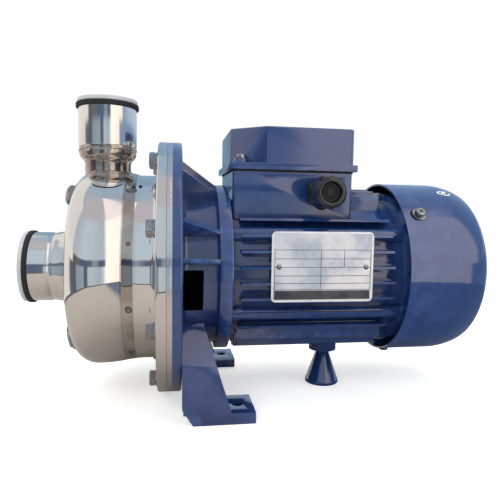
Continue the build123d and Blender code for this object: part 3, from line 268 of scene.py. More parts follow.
@lru_cache(maxsize=None)
def marks_and_reflections_group() -> bpy.types.NodeTree:
    """Handling marks and thin dust, and on the nameplate painted reflections: a soft mask and a mottled tint,
    from Object coordinates.

    Returns:
        The group's node tree.
    """
    wires, given, out = new_group(
        "handling_marks_and_painted_reflections",
        [("Vector", "Vector", None), ("Scale", "Float", 20.0), ("Amount", "Float", 0.5)],
        [("Mask", "Float"), ("Mottle", "Float")],
    )
    broad = wires.noise(given.outputs["Vector"], given.outputs["Scale"], 4.0, 0.55)
    fine_scale = wires.math("MULTIPLY", given.outputs["Scale"], 7.0)
    fine = wires.noise(given.outputs["Vector"], fine_scale, 3.0, 0.6)
    patches = wires.ramp(broad, 0.42, 0.68)
    mask = wires.math("MULTIPLY", patches, wires.ramp(fine, 0.3, 0.75, 0.35, 1.0))
    wires.feed(out.inputs["Mask"], wires.math("MULTIPLY", mask, given.outputs["Amount"]))
    wires.feed(out.inputs["Mottle"], wires.ramp(broad, 0.25, 0.75))
    return wires.tree


@lru_cache(maxsize=None)
def relief_group() -> bpy.types.NodeTree:
    """Surface relief: broad waves as in pressed or sprayed surfaces, with fine grain on them.

    Returns:
        The group's node tree.
    """
    wires, given, out = new_group(
        "surface_relief",
        [("Vector", "Vector", None), ("Wave Scale", "Float", 60.0), ("Grain Scale", "Float", 900.0),
         ("Grain", "Float", 0.3)],
        [("Height", "Float")],
    )
    waves = wires.noise(given.outputs["Vector"], given.outputs["Wave Scale"], 2.0, 0.45)
    grain = wires.noise(given.outputs["Vector"], given.outputs["Grain Scale"], 2.0, 0.6)
    small = wires.math("MULTIPLY", grain, given.outputs["Grain"])
    wires.feed(out.inputs["Height"], wires.math("ADD", waves, small))
    return wires.tree


@lru_cache(maxsize=None)
def edge_highlight_group() -> bpy.types.NodeTree:
    """Painted highlights on edges and corners, found from the mesh's own pointedness and broken up by noise.

    Returns:
        The group's node tree.
    """
    wires, given, out = new_group(
        "painted_edge_highlights",
        [("Vector", "Vector", None), ("Low", "Float", 0.52), ("High", "Float", 0.6),
         ("Scale", "Float", 80.0)],
        [("Mask", "Float")],
    )
    point = wires.add("NewGeometry").outputs["Pointiness"]
    edge = wires.add("MapRange")
    for socket, value in zip(edge.inputs, (point, given.outputs["Low"], given.outputs["High"], 0.0, 1.0)):
        wires.feed(socket, value)
    broken = wires.ramp(wires.noise(given.outputs["Vector"], given.outputs["Scale"], 3.0), 0.35, 0.65)
    wires.feed(out.inputs["Mask"], wires.math("MULTIPLY", edge.outputs[0], broken))
    return wires.tree


@dataclass(frozen=True)
class Finish:
    """One procedural surface finish.

    Colours are linear. The tint is what shows in the mottled patches, and the mark colour where the
    surface has been handled or is dusty; on the nameplate both are painted reflections.
    """

    name: str
    colour: Colour
    tint: Colour
    mark: Colour
    metallic: float = 1.0
    roughness: float = 0.2
    roughness_swing: float = 0.2
    mark_scale: float = 60.0
    mark_amount: float = 0.4
    wave_scale: float = 200.0
    grain_scale: float = 900.0
    grain: float = 0.3
    relief: float = 0.2
    relief_depth: float = 0.0002
    stretch: tuple[float, float, float] = (1.0, 1.0, 1.0)
    coat: float = 0.0
    coat_roughness: float = 0.05
    coat_ior: float = 1.5
    ior: float = 1.5
    edge_highlight: Colour | None = None

    def coordinates(self, wires: Wiring) -> Socket:
        """Object coordinates, stretched along the finish's grain.

        Args:
            wires: The material's wiring.

        Returns:
            The coordinates' socket.
        """
        place = wires.add("Mapping", vector_type="TEXTURE")
        wires.feed(place.inputs["Vector"], wires.add("TexCoord").outputs["Object"])
        place.inputs["Scale"].default_value = self.stretch
        return place.outputs[0]

    def base_colour(self, wires: Wiring, place: Socket, marks: bpy.types.Node) -> Socket:
        """The mottled colour with its handling marks (on the nameplate, painted reflections), and painted
        highlights on the edges where the finish has them.

        Args:
            wires: The material's wiring.
            place: The coordinates.
            marks: The handling marks' node.

        Returns:
            The colour's socket.
        """
        mottled = wires.mix(marks.outputs["Mottle"], self.colour, self.tint)
        marked = wires.mix(marks.outputs["Mask"], mottled, self.mark)
        if self.edge_highlight is None:
            return marked
        # Convex edges get a lighter colour here: painted highlight.
        edge_light = wires.group(edge_highlight_group(), Vector=place)
        return wires.mix(edge_light.outputs["Mask"], marked, self.edge_highlight)

    def material(self) -> bpy.types.Material:
        """The finish as a Blender material, made once.

        Returns:
            The material of that name.
        """
        found = bpy.data.materials.get(self.name)
        if found is not None:
            return found
        made = bpy.data.materials.new(self.name)
        made.use_nodes = True
        wires = Wiring(made.node_tree)
        surface = wires.add("BsdfPrincipled")
        wires.feed(wires.add("OutputMaterial").inputs["Surface"], surface.outputs[0])
        place = self.coordinates(wires)
        marks = wires.group(
            marks_and_reflections_group(), Vector=place, Scale=self.mark_scale, Amount=self.mark_amount
        )
        wires.feed(surface.inputs["Base Color"], self.base_colour(wires, place, marks))
        dull = self.roughness + self.roughness_swing
        rough = wires.ramp(marks.outputs["Mask"], 0.0, 0.5, self.roughness, dull)
        wires.feed(surface.inputs["Roughness"], rough)
        relief = wires.group(
            relief_group(), Vector=place, Wave_Scale=self.wave_scale, Grain_Scale=self.grain_scale,
            Grain=self.grain,
        )
        bump = wires.add("Bump")
        bump.inputs["Strength"].default_value = self.relief
        bump.inputs["Distance"].default_value = self.relief_depth
        wires.feed(bump.inputs["Height"], relief.outputs["Height"])
        wires.feed(surface.inputs["Normal"], bump.outputs[0])
        surface.inputs["Metallic"].default_value = self.metallic
        surface.inputs["IOR"].default_value = self.ior
        surface.inputs["Coat Weight"].default_value = self.coat
        surface.inputs["Coat Roughness"].default_value = self.coat_roughness
        surface.inputs["Coat IOR"].default_value = self.coat_ior
        return made


@dataclass(frozen=True)
class BandedFinish(Finish):
    """A finish with one darker, browner band across Object X, broken up by noise."""

    band: tuple[float, float] = (-0.0975, -0.0872)
    band_edge: float = 0.0012
    band_colour: Colour = (0.42, 0.37, 0.32)

    def base_colour(self, wires: Wiring, place: Socket, marks: bpy.types.Node) -> Socket:
        """The finish's own colour, darker and browner inside the band.

        Args:
            wires: The material's wiring.
            place: The coordinates.
            marks: The handling marks' node.

        Returns:
            The colour's socket.
        """
        plain = super().base_colour(wires, place, marks)
        split = wires.add("SeparateXYZ")
        wires.feed(split.inputs[0], place)
        low, high = self.band
        inside = wires.ramp(split.outputs["X"], low - self.band_edge, low)
        outside = wires.ramp(split.outputs["X"], high - self.band_edge, high, 1.0, 0.0)
        cloud = wires.ramp(wires.noise(place, 55.0, 3.0), 0.3, 0.6, 0.62, 1.0)
        share = wires.math("MULTIPLY", wires.math("MULTIPLY", inside, outside), cloud)
        return wires.mix(share, plain, self.band_colour)


NAVY = (0.0072, 0.0275, 0.119)
NAVY_PATCH = (0.0100, 0.034, 0.140)
# A lighter, bluer navy that the enamels show on convex edges: painted highlight.
NAVY_EDGE_HIGHLIGHT = (0.030, 0.070, 0.22)
NAVY_DUST = (0.030, 0.055, 0.13)
POLISHED = Finish(
    "polished_stainless", (0.80, 0.785, 0.76), (0.76, 0.745, 0.72), (0.70, 0.68, 0.65), roughness=0.025,
    roughness_swing=0.06, mark_scale=14.0, mark_amount=0.35, wave_scale=13.0, grain=0.0, relief=0.20,
    relief_depth=0.0012,
)
SHELL_STEEL = BandedFinish(**vars(POLISHED) | {"name": "polished_stainless_shell"})
HEAT_TINTED = Finish(
    "heat_tinted_stainless", (0.62, 0.57, 0.52), (0.40, 0.34, 0.29), (0.26, 0.21, 0.19), roughness=0.06,
    roughness_swing=0.14, mark_scale=42.0, mark_amount=0.6, wave_scale=75.0, grain=0.0, relief=0.55,
    relief_depth=0.0012,
)
SPOT_METAL = Finish(
    "spot_weld_metal", (0.13, 0.15, 0.18), (0.22, 0.22, 0.23), (0.30, 0.27, 0.25), roughness=0.24,
    mark_scale=150.0, mark_amount=0.5, wave_scale=400.0, grain=0.4, relief=0.4,
)
PRESSED = Finish(
    "satin_stainless", (0.74, 0.73, 0.71), (0.68, 0.67, 0.65), (0.6, 0.58, 0.55), roughness=0.16,
    roughness_swing=0.14, mark_scale=26.0, wave_scale=40.0, relief=0.12, relief_depth=0.0004,
)
WELD = Finish(
    "weld_metal", (0.50, 0.45, 0.40), (0.28, 0.24, 0.21), (0.2, 0.17, 0.15), roughness_swing=0.25,
    mark_scale=120.0, mark_amount=0.7, wave_scale=500.0, grain=0.6, relief=0.6, relief_depth=0.0004,
)
PLATED = Finish(
    "bright_screw_steel", (0.46, 0.46, 0.465), (0.33, 0.33, 0.335), (0.2, 0.195, 0.19), roughness=0.15,
    roughness_swing=0.22, mark_scale=90.0, mark_amount=0.5, wave_scale=180.0, grain=0.5, relief=0.25,
)
ENAMEL = Finish(
    "navy_enamel", NAVY, NAVY_PATCH, NAVY_DUST, metallic=0.0, roughness=0.16, roughness_swing=0.1,
    mark_scale=9.0, mark_amount=0.16, wave_scale=150.0, grain=0.08, relief=0.10, relief_depth=0.0004,
    coat=1.0, coat_roughness=0.03, coat_ior=1.7, edge_highlight=NAVY_EDGE_HIGHLIGHT,
)
CAST_ENAMEL = Finish(
    "navy_enamel_on_casting", NAVY, NAVY_PATCH, NAVY_DUST, metallic=0.0, roughness_swing=0.12,
    mark_scale=11.0, mark_amount=0.2, wave_scale=70.0, grain=0.12, relief=0.32, relief_depth=0.0006, coat=1.0,
    coat_ior=1.65, edge_highlight=NAVY_EDGE_HIGHLIGHT,
)
BLACK_NYLON = Finish(
    "black_nylon", (0.006, 0.006, 0.007), (0.010, 0.010, 0.011), (0.03, 0.03, 0.03), metallic=0.0,
    roughness=0.26, roughness_swing=0.16, mark_amount=0.2, relief=0.12, coat=0.5, coat_roughness=0.08,
)
BLACK_RUBBER = Finish(
    "black_rubber", (0.012, 0.012, 0.012), (0.018, 0.018, 0.018), (0.06, 0.058, 0.055), metallic=0.0,
    roughness=0.55, mark_scale=70.0, wave_scale=260.0, grain=0.7, relief=0.35,
)
PALE_NYLON = Finish(
    "pale_port_ring", (0.56, 0.565, 0.59), (0.50, 0.505, 0.53), (0.4, 0.4, 0.42), metallic=0.0,
    roughness=0.36, mark_scale=50.0, mark_amount=0.3, wave_scale=150.0, grain=0.4, relief=0.15, coat=0.3,
    coat_roughness=0.1,
)
MACHINED = Finish(
    "machined_steel", (0.55, 0.55, 0.55), (0.47, 0.47, 0.47), (0.3, 0.28, 0.26), roughness=0.28,
    wave_scale=90.0, grain=0.8, relief=0.3, relief_depth=0.0001, stretch=(0.1, 1.0, 1.0),
)
LAMINATED = Finish(
    "core_laminations", (0.26, 0.27, 0.29), (0.2, 0.2, 0.22), (0.14, 0.12, 0.11), roughness=0.42,
    mark_scale=40.0, wave_scale=600.0, grain=0.4, relief=0.5, relief_depth=0.0003, stretch=(0.05, 1.0, 1.0),
)
COPPER = Finish(
    "winding_copper", (0.52, 0.19, 0.075), (0.4, 0.13, 0.05), (0.2, 0.08, 0.04), roughness=0.3,
    wave_scale=420.0, grain=0.5, relief=0.6, relief_depth=0.0006,
)
BRASS = Finish(
    "stud_brass", (0.70, 0.50, 0.20), (0.6, 0.4, 0.15), (0.35, 0.25, 0.12), roughness=0.25, mark_scale=90.0,
)
CERAMIC = Finish(
    "seal_ceramic", (0.80, 0.77, 0.70), (0.74, 0.71, 0.65), (0.6, 0.56, 0.5), metallic=0.0, roughness=0.25,
    roughness_swing=0.1, mark_scale=50.0, mark_amount=0.2, wave_scale=150.0, relief=0.1, relief_depth=0.0001,
)
CARBON = Finish(
    "seal_carbon", (0.03, 0.03, 0.033), (0.04, 0.04, 0.043), (0.09, 0.09, 0.09), metallic=0.0, roughness=0.45,
    mark_scale=80.0, mark_amount=0.3, relief_depth=0.0001,
)
# The plate's grey is its own; its bluish mottled patches and marks are painted reflections.
PLATE_METAL_AND_REFLECTIONS = Finish(
    "nameplate_metal_with_painted_reflections", (0.66, 0.655, 0.665), (0.50, 0.51, 0.55), (0.34, 0.40, 0.50), metallic=0.35,
    mark_scale=34.0, mark_amount=0.75, wave_scale=45.0, grain=0.2, relief=0.5, relief_depth=0.0006,
)
PLATE_EDGE = Finish(
    "nameplate_raised_edge", (0.80, 0.80, 0.82), (0.72, 0.72, 0.75), (0.5, 0.5, 0.54), metallic=0.4,
    roughness=0.3, mark_scale=90.0, mark_amount=0.3,
)
PLATE_INK = Finish(
    "nameplate_black_ink", (0.018, 0.018, 0.020), (0.03, 0.03, 0.034), (0.10, 0.10, 0.11), metallic=0.0,
    roughness=0.35, roughness_swing=0.25, mark_amount=0.5, wave_scale=120.0, relief=0.25, coat=0.3,
)
STICKER = Finish(
    "white_sticker", (0.78, 0.80, 0.84), (0.74, 0.76, 0.80), (0.55, 0.56, 0.6), metallic=0.0, roughness=0.35,
    roughness_swing=0.15, mark_scale=80.0, mark_amount=0.3, relief=0.15,
)
SHADOW_HOLE = Finish(
    "screw_hole_shadow", (0.003, 0.004, 0.008), (0.004, 0.005, 0.010), (0.01, 0.012, 0.02), metallic=0.0,
    roughness=0.7, roughness_swing=0.1, mark_scale=80.0, mark_amount=0.2, relief=0.1, relief_depth=0.0004,
)

NODE_FINISHES: dict[Finish, tuple[str, ...]] = {
    POLISHED: ("casing_shell", "suction_socket", "discharge_socket"),
    PRESSED: ("casing_cover",),
    PLATED: ("priming_plug", "drain_plug", "casing_bolts", "casing_bolt_washers", "cowl_screws",
             "cowl_screw_washers", "lid_screws", "cone_foot_screw", "impeller_nut", "tie_bolts"),
    CAST_ENAMEL: ("bracket", "motor_housing", "rear_end_shield", "terminal_box", "terminal_lid"),
    ENAMEL: ("fan_cowl", "cone_foot"),
    BLACK_NYLON: ("gland_body", "gland_nut", "gland_plug", "terminal_board", "fan"),
    PALE_NYLON: ("suction_rim_ring", "discharge_rim_ring"),
    BLACK_RUBBER: ("suction_seal_ring", "discharge_seal_ring", "priming_plug_washer", "drain_plug_washer",
                   "casing_o_ring", "seal_seat_cup", "seal_bellows", "water_slinger", "lid_gasket"),
    MACHINED: ("shaft", "impeller", "impeller_key", "wear_ring", "front_bearing_outer_ring",
               "rear_bearing_outer_ring", "front_bearing_inner_ring", "rear_bearing_inner_ring",
               "wave_washer", "seal_spring", "fan_clip"),
    LAMINATED: ("stator_core", "rotor_core"),
    COPPER: ("stator_windings",),
    BRASS: ("terminal_studs",),
    CERAMIC: ("seal_seat",),
    CARBON: ("seal_rotating_ring",),
    PLATE_METAL_AND_REFLECTIONS: ("nameplate", "nameplate_rivets"),
}


def dress_nodes() -> None:
    """Give every CAD node its procedural finish."""
    for finish, nodes in NODE_FINISHES.items():
        for node in nodes:
            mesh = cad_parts[node].data
            mesh.materials.clear()
            mesh.materials.append(finish.material())
    LOG.info("dressed %d CAD nodes", sum(len(nodes) for nodes in NODE_FINISHES.values()))


class Pen:
    """Draws an outline of (along, radius) points, in millimetres, with bmesh operators."""

    def __init__(self, mesh: bmesh.types.BMesh, along: float, radius: float) -> None:
        """Start the outline at one point.

        Args:
            mesh: The bmesh to draw in.
            along: The start, along the turning line.
            radius: The start, from the turning line.
        """
        self.mesh = mesh
        self.start = self.tip = bmesh.ops.create_vert(mesh, co=self.point(along, radius))["vert"][0]
        self.heading = Vector((0.0, 0.0, 1.0))

    @staticmethod
    def point(along: float, radius: float) -> Vector:
        """The place of an outline point: the turning line is local Z, and radius is along local X."""
        return Vector((radius * MM, 0.0, along * MM))

    def line(self, along: float, radius: float) -> "Pen":
        """Draw a straight run.

        Args:
            along: Where the run ends, along the turning line.
            radius: Where the run ends, from the turning line.

        Returns:
            The pen, at the run's end.
        """
        new = bmesh.ops.extrude_vert_indiv(self.mesh, verts=[self.tip])["verts"][0]
        new.co = self.point(along, radius)
        self.heading = (new.co - self.tip.co).normalized()
        self.tip = new
        return self

    def arc(self, along: float, radius: float, ending: Point | None = None, steps: int = 8) -> "Pen":
        """Draw a circular arc, tangent to the last run or to the heading it ends with.

        Args:
            along: Where the arc ends, along the turning line.
            radius: Where the arc ends, from the turning line.
            ending: The (along, radius) heading at its end, or None to go on from the last run.
            steps: How many chords the arc gets.

        Returns:
            The pen, at the arc's end.
        """
        chord = self.point(along, radius) - self.tip.co
        heading = self.heading
        if ending is not None:
            last = Vector((ending[1], 0.0, ending[0])).normalized()
            heading = 2.0 * last.dot(chord.normalized()) * chord.normalized() - last
        across = chord - chord.dot(heading) * heading
        if across.length < 1e-9:
            return self.line(along, radius)
        across.normalize()
        size = chord.length_squared / (2.0 * chord.dot(across))
        centre = self.tip.co + across * size
        sweep = 2.0 * math.atan2(chord.dot(across), chord.dot(heading))
        sign = 1.0 if (self.tip.co - centre).cross(heading).y > 0 else -1.0
        made = bmesh.ops.spin(
            self.mesh, geom=[self.tip], cent=centre, axis=(0.0, 1.0, 0.0), dvec=(0.0, 0.0, 0.0),
            angle=sign * sweep, steps=steps, use_merge=False, use_duplicate=False,
        )
        self.tip = next(item for item in made["geom_last"] if isinstance(item, bmesh.types.BMVert))
        self.tip.co = self.point(along, radius)
        unit = chord.normalized()
        self.heading = 2.0 * heading.dot(unit) * unit - heading
        return self

    def close(self) -> "Pen":
        """Join the outline's end to its start."""
        self.mesh.edges.new((self.tip, self.start))
        return self


class Shape:
    """A piece being made: a bmesh, and the steps that finish it as an object of the scene."""

    def __init__(self, name: str) -> None:
        """Start an empty piece."""
        self.name = name
        self.mesh = bmesh.new()

    def pen(self, along: float, radius: float) -> Pen:
        """Start an outline in this piece."""
        return Pen(self.mesh, along, radius)

    def turn(self, steps: int = 96, angle: float = 360.0, rise: float = 0.0) -> "Shape":
        """Spin everything drawn so far about local Z.

        Args:
            steps: How many faces go round.
            angle: How far it turns, in degrees.
            rise: How far it climbs in all along the turning line, in millimetres.

        Returns:
            The piece.
        """
        full = abs(angle - 360.0) < 1e-6 and rise == 0.0
        geometry = list(self.mesh.verts) + list(self.mesh.edges)
        bmesh.ops.spin(
            self.mesh, geom=geometry, cent=(0.0, 0.0, 0.0), axis=(0.0, 0.0, 1.0),
            dvec=(0.0, 0.0, rise * MM / steps), angle=math.radians(angle), steps=steps, use_merge=full,
            use_duplicate=False,
        )
        bmesh.ops.remove_doubles(self.mesh, verts=self.mesh.verts, dist=1e-7)
        bmesh.ops.recalc_face_normals(self.mesh, faces=self.mesh.faces)
        return self

    def sweep(self, angle: float, steps: int, rise: float = 0.0) -> "Shape":
        """Spin a closed outline part of the way or many times round local Z, and close its ends.

        Args:
            angle: How far it turns, in degrees.
            steps: How many sections it gets.
            rise: How far it climbs at each step along the turning line, in millimetres.

        Returns:
            The piece.
        """
        corners = len(self.mesh.verts)
        bmesh.ops.spin(
            self.mesh, geom=list(self.mesh.verts) + list(self.mesh.edges), cent=(0.0, 0.0, 0.0),
            axis=(0.0, 0.0, 1.0), dvec=(0.0, 0.0, rise * MM), angle=math.radians(angle), steps=steps,
            use_merge=False, use_duplicate=False,
        )
        ends = [edge for edge in self.mesh.edges if edge.is_boundary]
        bmesh.ops.holes_fill(self.mesh, edges=ends, sides=corners)
        bmesh.ops.recalc_face_normals(self.mesh, faces=self.mesh.faces)
        return self

    def place(self, matrix: Matrix) -> "Shape":
        """Move the whole piece by a frame or a turn."""
        bmesh.ops.transform(self.mesh, matrix=matrix, verts=self.mesh.verts)
        return self

    def join(self, other: "Shape") -> "Shape":
        """Take in another piece's mesh and free it.

        Args:
            other: The piece that is used up.

        Returns:
            The piece.
        """
        loose = bpy.data.meshes.new("loose")
        other.mesh.to_mesh(loose)
        self.mesh.from_mesh(loose)
        bpy.data.meshes.remove(loose)
        other.mesh.free()
        return self

    def block(self, low: Sequence[float], high: Sequence[float]) -> "Shape":
        """Add a box between two corners, in millimetres.

        Args:
            low: The lowest corner.
            high: The highest corner.

        Returns:
            The piece.
        """
        size = [(b - a) * MM for a, b in zip(low, high)]
        middle = [(a + b) / 2 * MM for a, b in zip(low, high)]
        place = Matrix.Translation(middle) @ Matrix.Diagonal((*size, 1.0))
        bmesh.ops.create_cube(self.mesh, size=1.0, matrix=place)
        return self

    def rod(self, radius: float, low: float, high: float, sides: int = 32) -> "Shape":
        """Add an upright round or many-sided bar on local Z, in millimetres.

        Args:
            radius: From the middle to a corner.
            low: Where it starts on local Z.
            high: Where it ends on local Z.
            sides: How many sides it has.

        Returns:
            The piece.
        """
        bmesh.ops.create_cone(
            self.mesh, cap_ends=True, segments=sides, radius1=radius * MM, radius2=radius * MM,
            depth=(high - low) * MM, matrix=Matrix.Translation((0, 0, (low + high) / 2 * MM)),
        )
        return self

    def bead(self, radius: float, size: float, sides: int, steps: int) -> "Shape":
        """Add a round bead that runs once round local Z, in millimetres.

        Args:
            radius: From local Z to the bead's middle.
            size: The bead's own radius.
            sides: How many faces go round the bead.
            steps: How many sections it gets.

        Returns:
            The piece.
        """
        upright = Matrix.Rotation(math.pi / 2, 4, "X")
        bmesh.ops.create_circle(
            self.mesh, segments=sides, radius=size * MM,
            matrix=Matrix.Translation((radius * MM, 0, 0)) @ upright,
        )
        return self.turn(steps)

    def wave(self, height: Callable[[Vector, float], float]) -> "Shape":
        """Raise every vertex by a height in millimetres, given its place and its angle about local Z.

        Args:
            height: Gives the rise from a vertex's place and its angle.

        Returns:
            The piece.
        """
        for vert in self.mesh.verts:
            vert.co.z += height(vert.co, math.atan2(vert.co.y, vert.co.x)) * MM
        return self

    def soften(self, width: float, segments: int = 2, sharper_than: float = 35.0) -> "Shape":
        """Round the edges that are sharper than an angle.

        Args:
            width: The bevel's width in millimetres.
            segments: How many faces go across it.
            sharper_than: The least angle between faces, in degrees, of an edge that is rounded.

        Returns:
            The piece.
        """
        limit = math.radians(sharper_than)
        sharp = [e for e in self.mesh.edges if e.is_manifold and e.calc_face_angle(0.0) > limit]
        bmesh.ops.bevel(
            self.mesh, geom=sharp, offset=width * MM, offset_type="OFFSET", segments=segments, profile=0.5,
            affect="EDGES", clamp_overlap=True, material=-1,
        )
        return self

    def carve(self, cutter: "Shape", operation: str = "DIFFERENCE") -> "Shape":
        """Cut the piece with another, which is used up.

        Args:
            cutter: The piece that is used up.
            operation: DIFFERENCE, UNION or INTERSECT.

        Returns:
            The piece.
        """
        objects = []
        for shape in (self, cutter):
            mesh = bpy.data.meshes.new("carving")
            bmesh.ops.recalc_face_normals(shape.mesh, faces=shape.mesh.faces)
            shape.mesh.to_mesh(mesh)
            objects.append(bpy.data.objects.new("carving", mesh))
            bpy.context.scene.collection.objects.link(objects[-1])
        body, tool = objects
        modifier = body.modifiers.new("cut", "BOOLEAN")
        modifier.operation, modifier.solver, modifier.object = operation, "EXACT", tool
        graph = bpy.context.evaluated_depsgraph_get()
        result = bpy.data.meshes.new_from_object(body.evaluated_get(graph))
        self.mesh.clear()
        self.mesh.from_mesh(result)
        cutter.mesh.free()
        for item in objects:
            mesh = item.data
            bpy.data.objects.remove(item)
            bpy.data.meshes.remove(mesh)
        bpy.data.meshes.remove(result)
        return self

    def finish(
        self, finish: Finish, body: Body, stands_for: Sequence[str] = (), smooth: float = 35.0
    ) -> bpy.types.Object:
        """Make the object, dress it and hang it on its body.

        Args:
            finish: The surface finish.
            body: The CAD body that the piece rides on.
            stands_for: The CAD nodes that it is shown in place of.
            smooth: Edges flatter than this angle, in degrees, are shaded smooth.

        Returns:
            The new object.
        """
        limit = math.radians(smooth)
        for face in self.mesh.faces:
            face.smooth = True
        for edge in self.mesh.edges:
            edge.smooth = edge.is_manifold and edge.calc_face_angle(0.0) < limit
        mesh = bpy.data.meshes.new(self.name)
        self.mesh.to_mesh(mesh)
        self.mesh.free()
        mesh.materials.append(finish.material())
        for polygon in mesh.polygons:
            polygon.material_index = 0
        made = bpy.data.objects.new(self.name, mesh)
        bpy.context.scene.collection.objects.link(made)
        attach(made, body.value)
        if stands_for:
            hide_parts(*stands_for)
        LOG.info("%s: %d faces on %s", self.name, len(mesh.polygons), body.value)
        return made


def copied(name: str, node: str) -> Shape:
    """A merged copy of a CAD node's mesh, with its flat faces whole again.

    Args:
        name: The new piece's name.
        node: The CAD node.

    Returns:
        The copy.
    """
    shape = Shape(name)
    shape.mesh.from_mesh(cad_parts[node].data)
    bmesh.ops.remove_doubles(shape.mesh, verts=shape.mesh.verts, dist=2e-6)
    bmesh.ops.dissolve_limit(
        shape.mesh, angle_limit=math.radians(0.5), verts=shape.mesh.verts, edges=shape.mesh.edges,
        delimit={"NORMAL"},
    )
    return shape


def ring(outer: float, inner: float, low: float, high: float, steps: int = 48, edge: float = 0.3) -> Shape:
    """A turned ring on local Z with rounded edges, in millimetres.

    Args:
        outer: Its outer radius.
        inner: Its inner radius.
        low: Where it starts on local Z.
        high: Where it ends on local Z.
        steps: How many faces go round.
        edge: The rounding of its edges.

    Returns:
        The ring.
    """
    shape = Shape("ring")
    pen = shape.pen(low, inner + edge)
    pen.line(low, outer - edge).arc(low + edge, outer, (1, 0), 3)
    pen.line(high - edge, outer).arc(high, outer - edge, (0, -1), 3)
    pen.line(high, inner + edge).arc(high - edge, inner, (-1, 0), 3)
    pen.line(low + edge, inner).arc(low, inner + edge, (0, 1), 3)
    return shape.turn(steps)


def split_washer(
    outer: float, inner: float, low: float, high: float, lift: float = 0.22, steps: int = 40
) -> Shape:
    """A spring washer on local Z: a square coil of nearly one turn whose ends stand apart.

    Args:
        outer: Its outer radius.
        inner: Its inner radius.
        low: Where it starts on local Z.
        high: Where it ends on local Z.
        lift: How far it opens, as a share of its height.
        steps: How many sections it gets.

    Returns:
        The washer.
    """
    shape = Shape("washer")
    shape.pen(low, inner).line(low, outer).line(high, outer).line(high, inner).close()
    seat = Matrix.Translation((0, 0, -low * MM))
    bmesh.ops.scale(shape.mesh, verts=shape.mesh.verts, vec=(1, 1, 1 - lift), space=seat)
    return shape.sweep(350, steps, (high - low) * lift / steps)


def cross_recess(reach: float, width: float, low: float, high: float) -> Shape:
    """The cutter of a screw's cross recess, narrowing as it goes in.

    Args:
        reach: From the middle to an arm's end.
        width: Half of an arm's width.
        low: The recess's bottom.
        high: A level above the head.

    Returns:
        The cutter.
    """
    cutter = Shape("recess")
    for long_x, long_y in ((reach, width), (width, reach)):
        arm = Shape("arm").block((-long_x, -long_y, low), (long_x, long_y, high))
        deep = [v for v in arm.mesh.verts if v.co.z < (low + high) / 2 * MM]
        bmesh.ops.scale(arm.mesh, verts=deep, vec=(0.45, 0.45, 1.0))
        cutter = arm if not cutter.mesh.faces else cutter.carve(arm, "UNION")
    return cutter


def pan_screw(head: float, height: float, shank: float, length: float) -> Shape:
    """A pan-head screw on local Z with its seat at 0 and a cross recess.

    Args:
        head: The head's radius.
        height: The head's height.
        shank: The shank's radius.
        length: How far the shank goes down.

    Returns:
        The screw.
    """
    shape = Shape("screw")
    pen = shape.pen(-length, 0.0)
    pen.line(-length, shank * 0.8).line(-length + 1.0, shank).line(0.0, shank).line(0.0, head)
    pen.line(height * 0.45, head).arc(height, head * 0.62, None, 6).line(height, 0.0)
    shape.turn(32)
    return shape.carve(cross_recess(head * 0.62, head * 0.13, height * 0.25, height + 1.0))


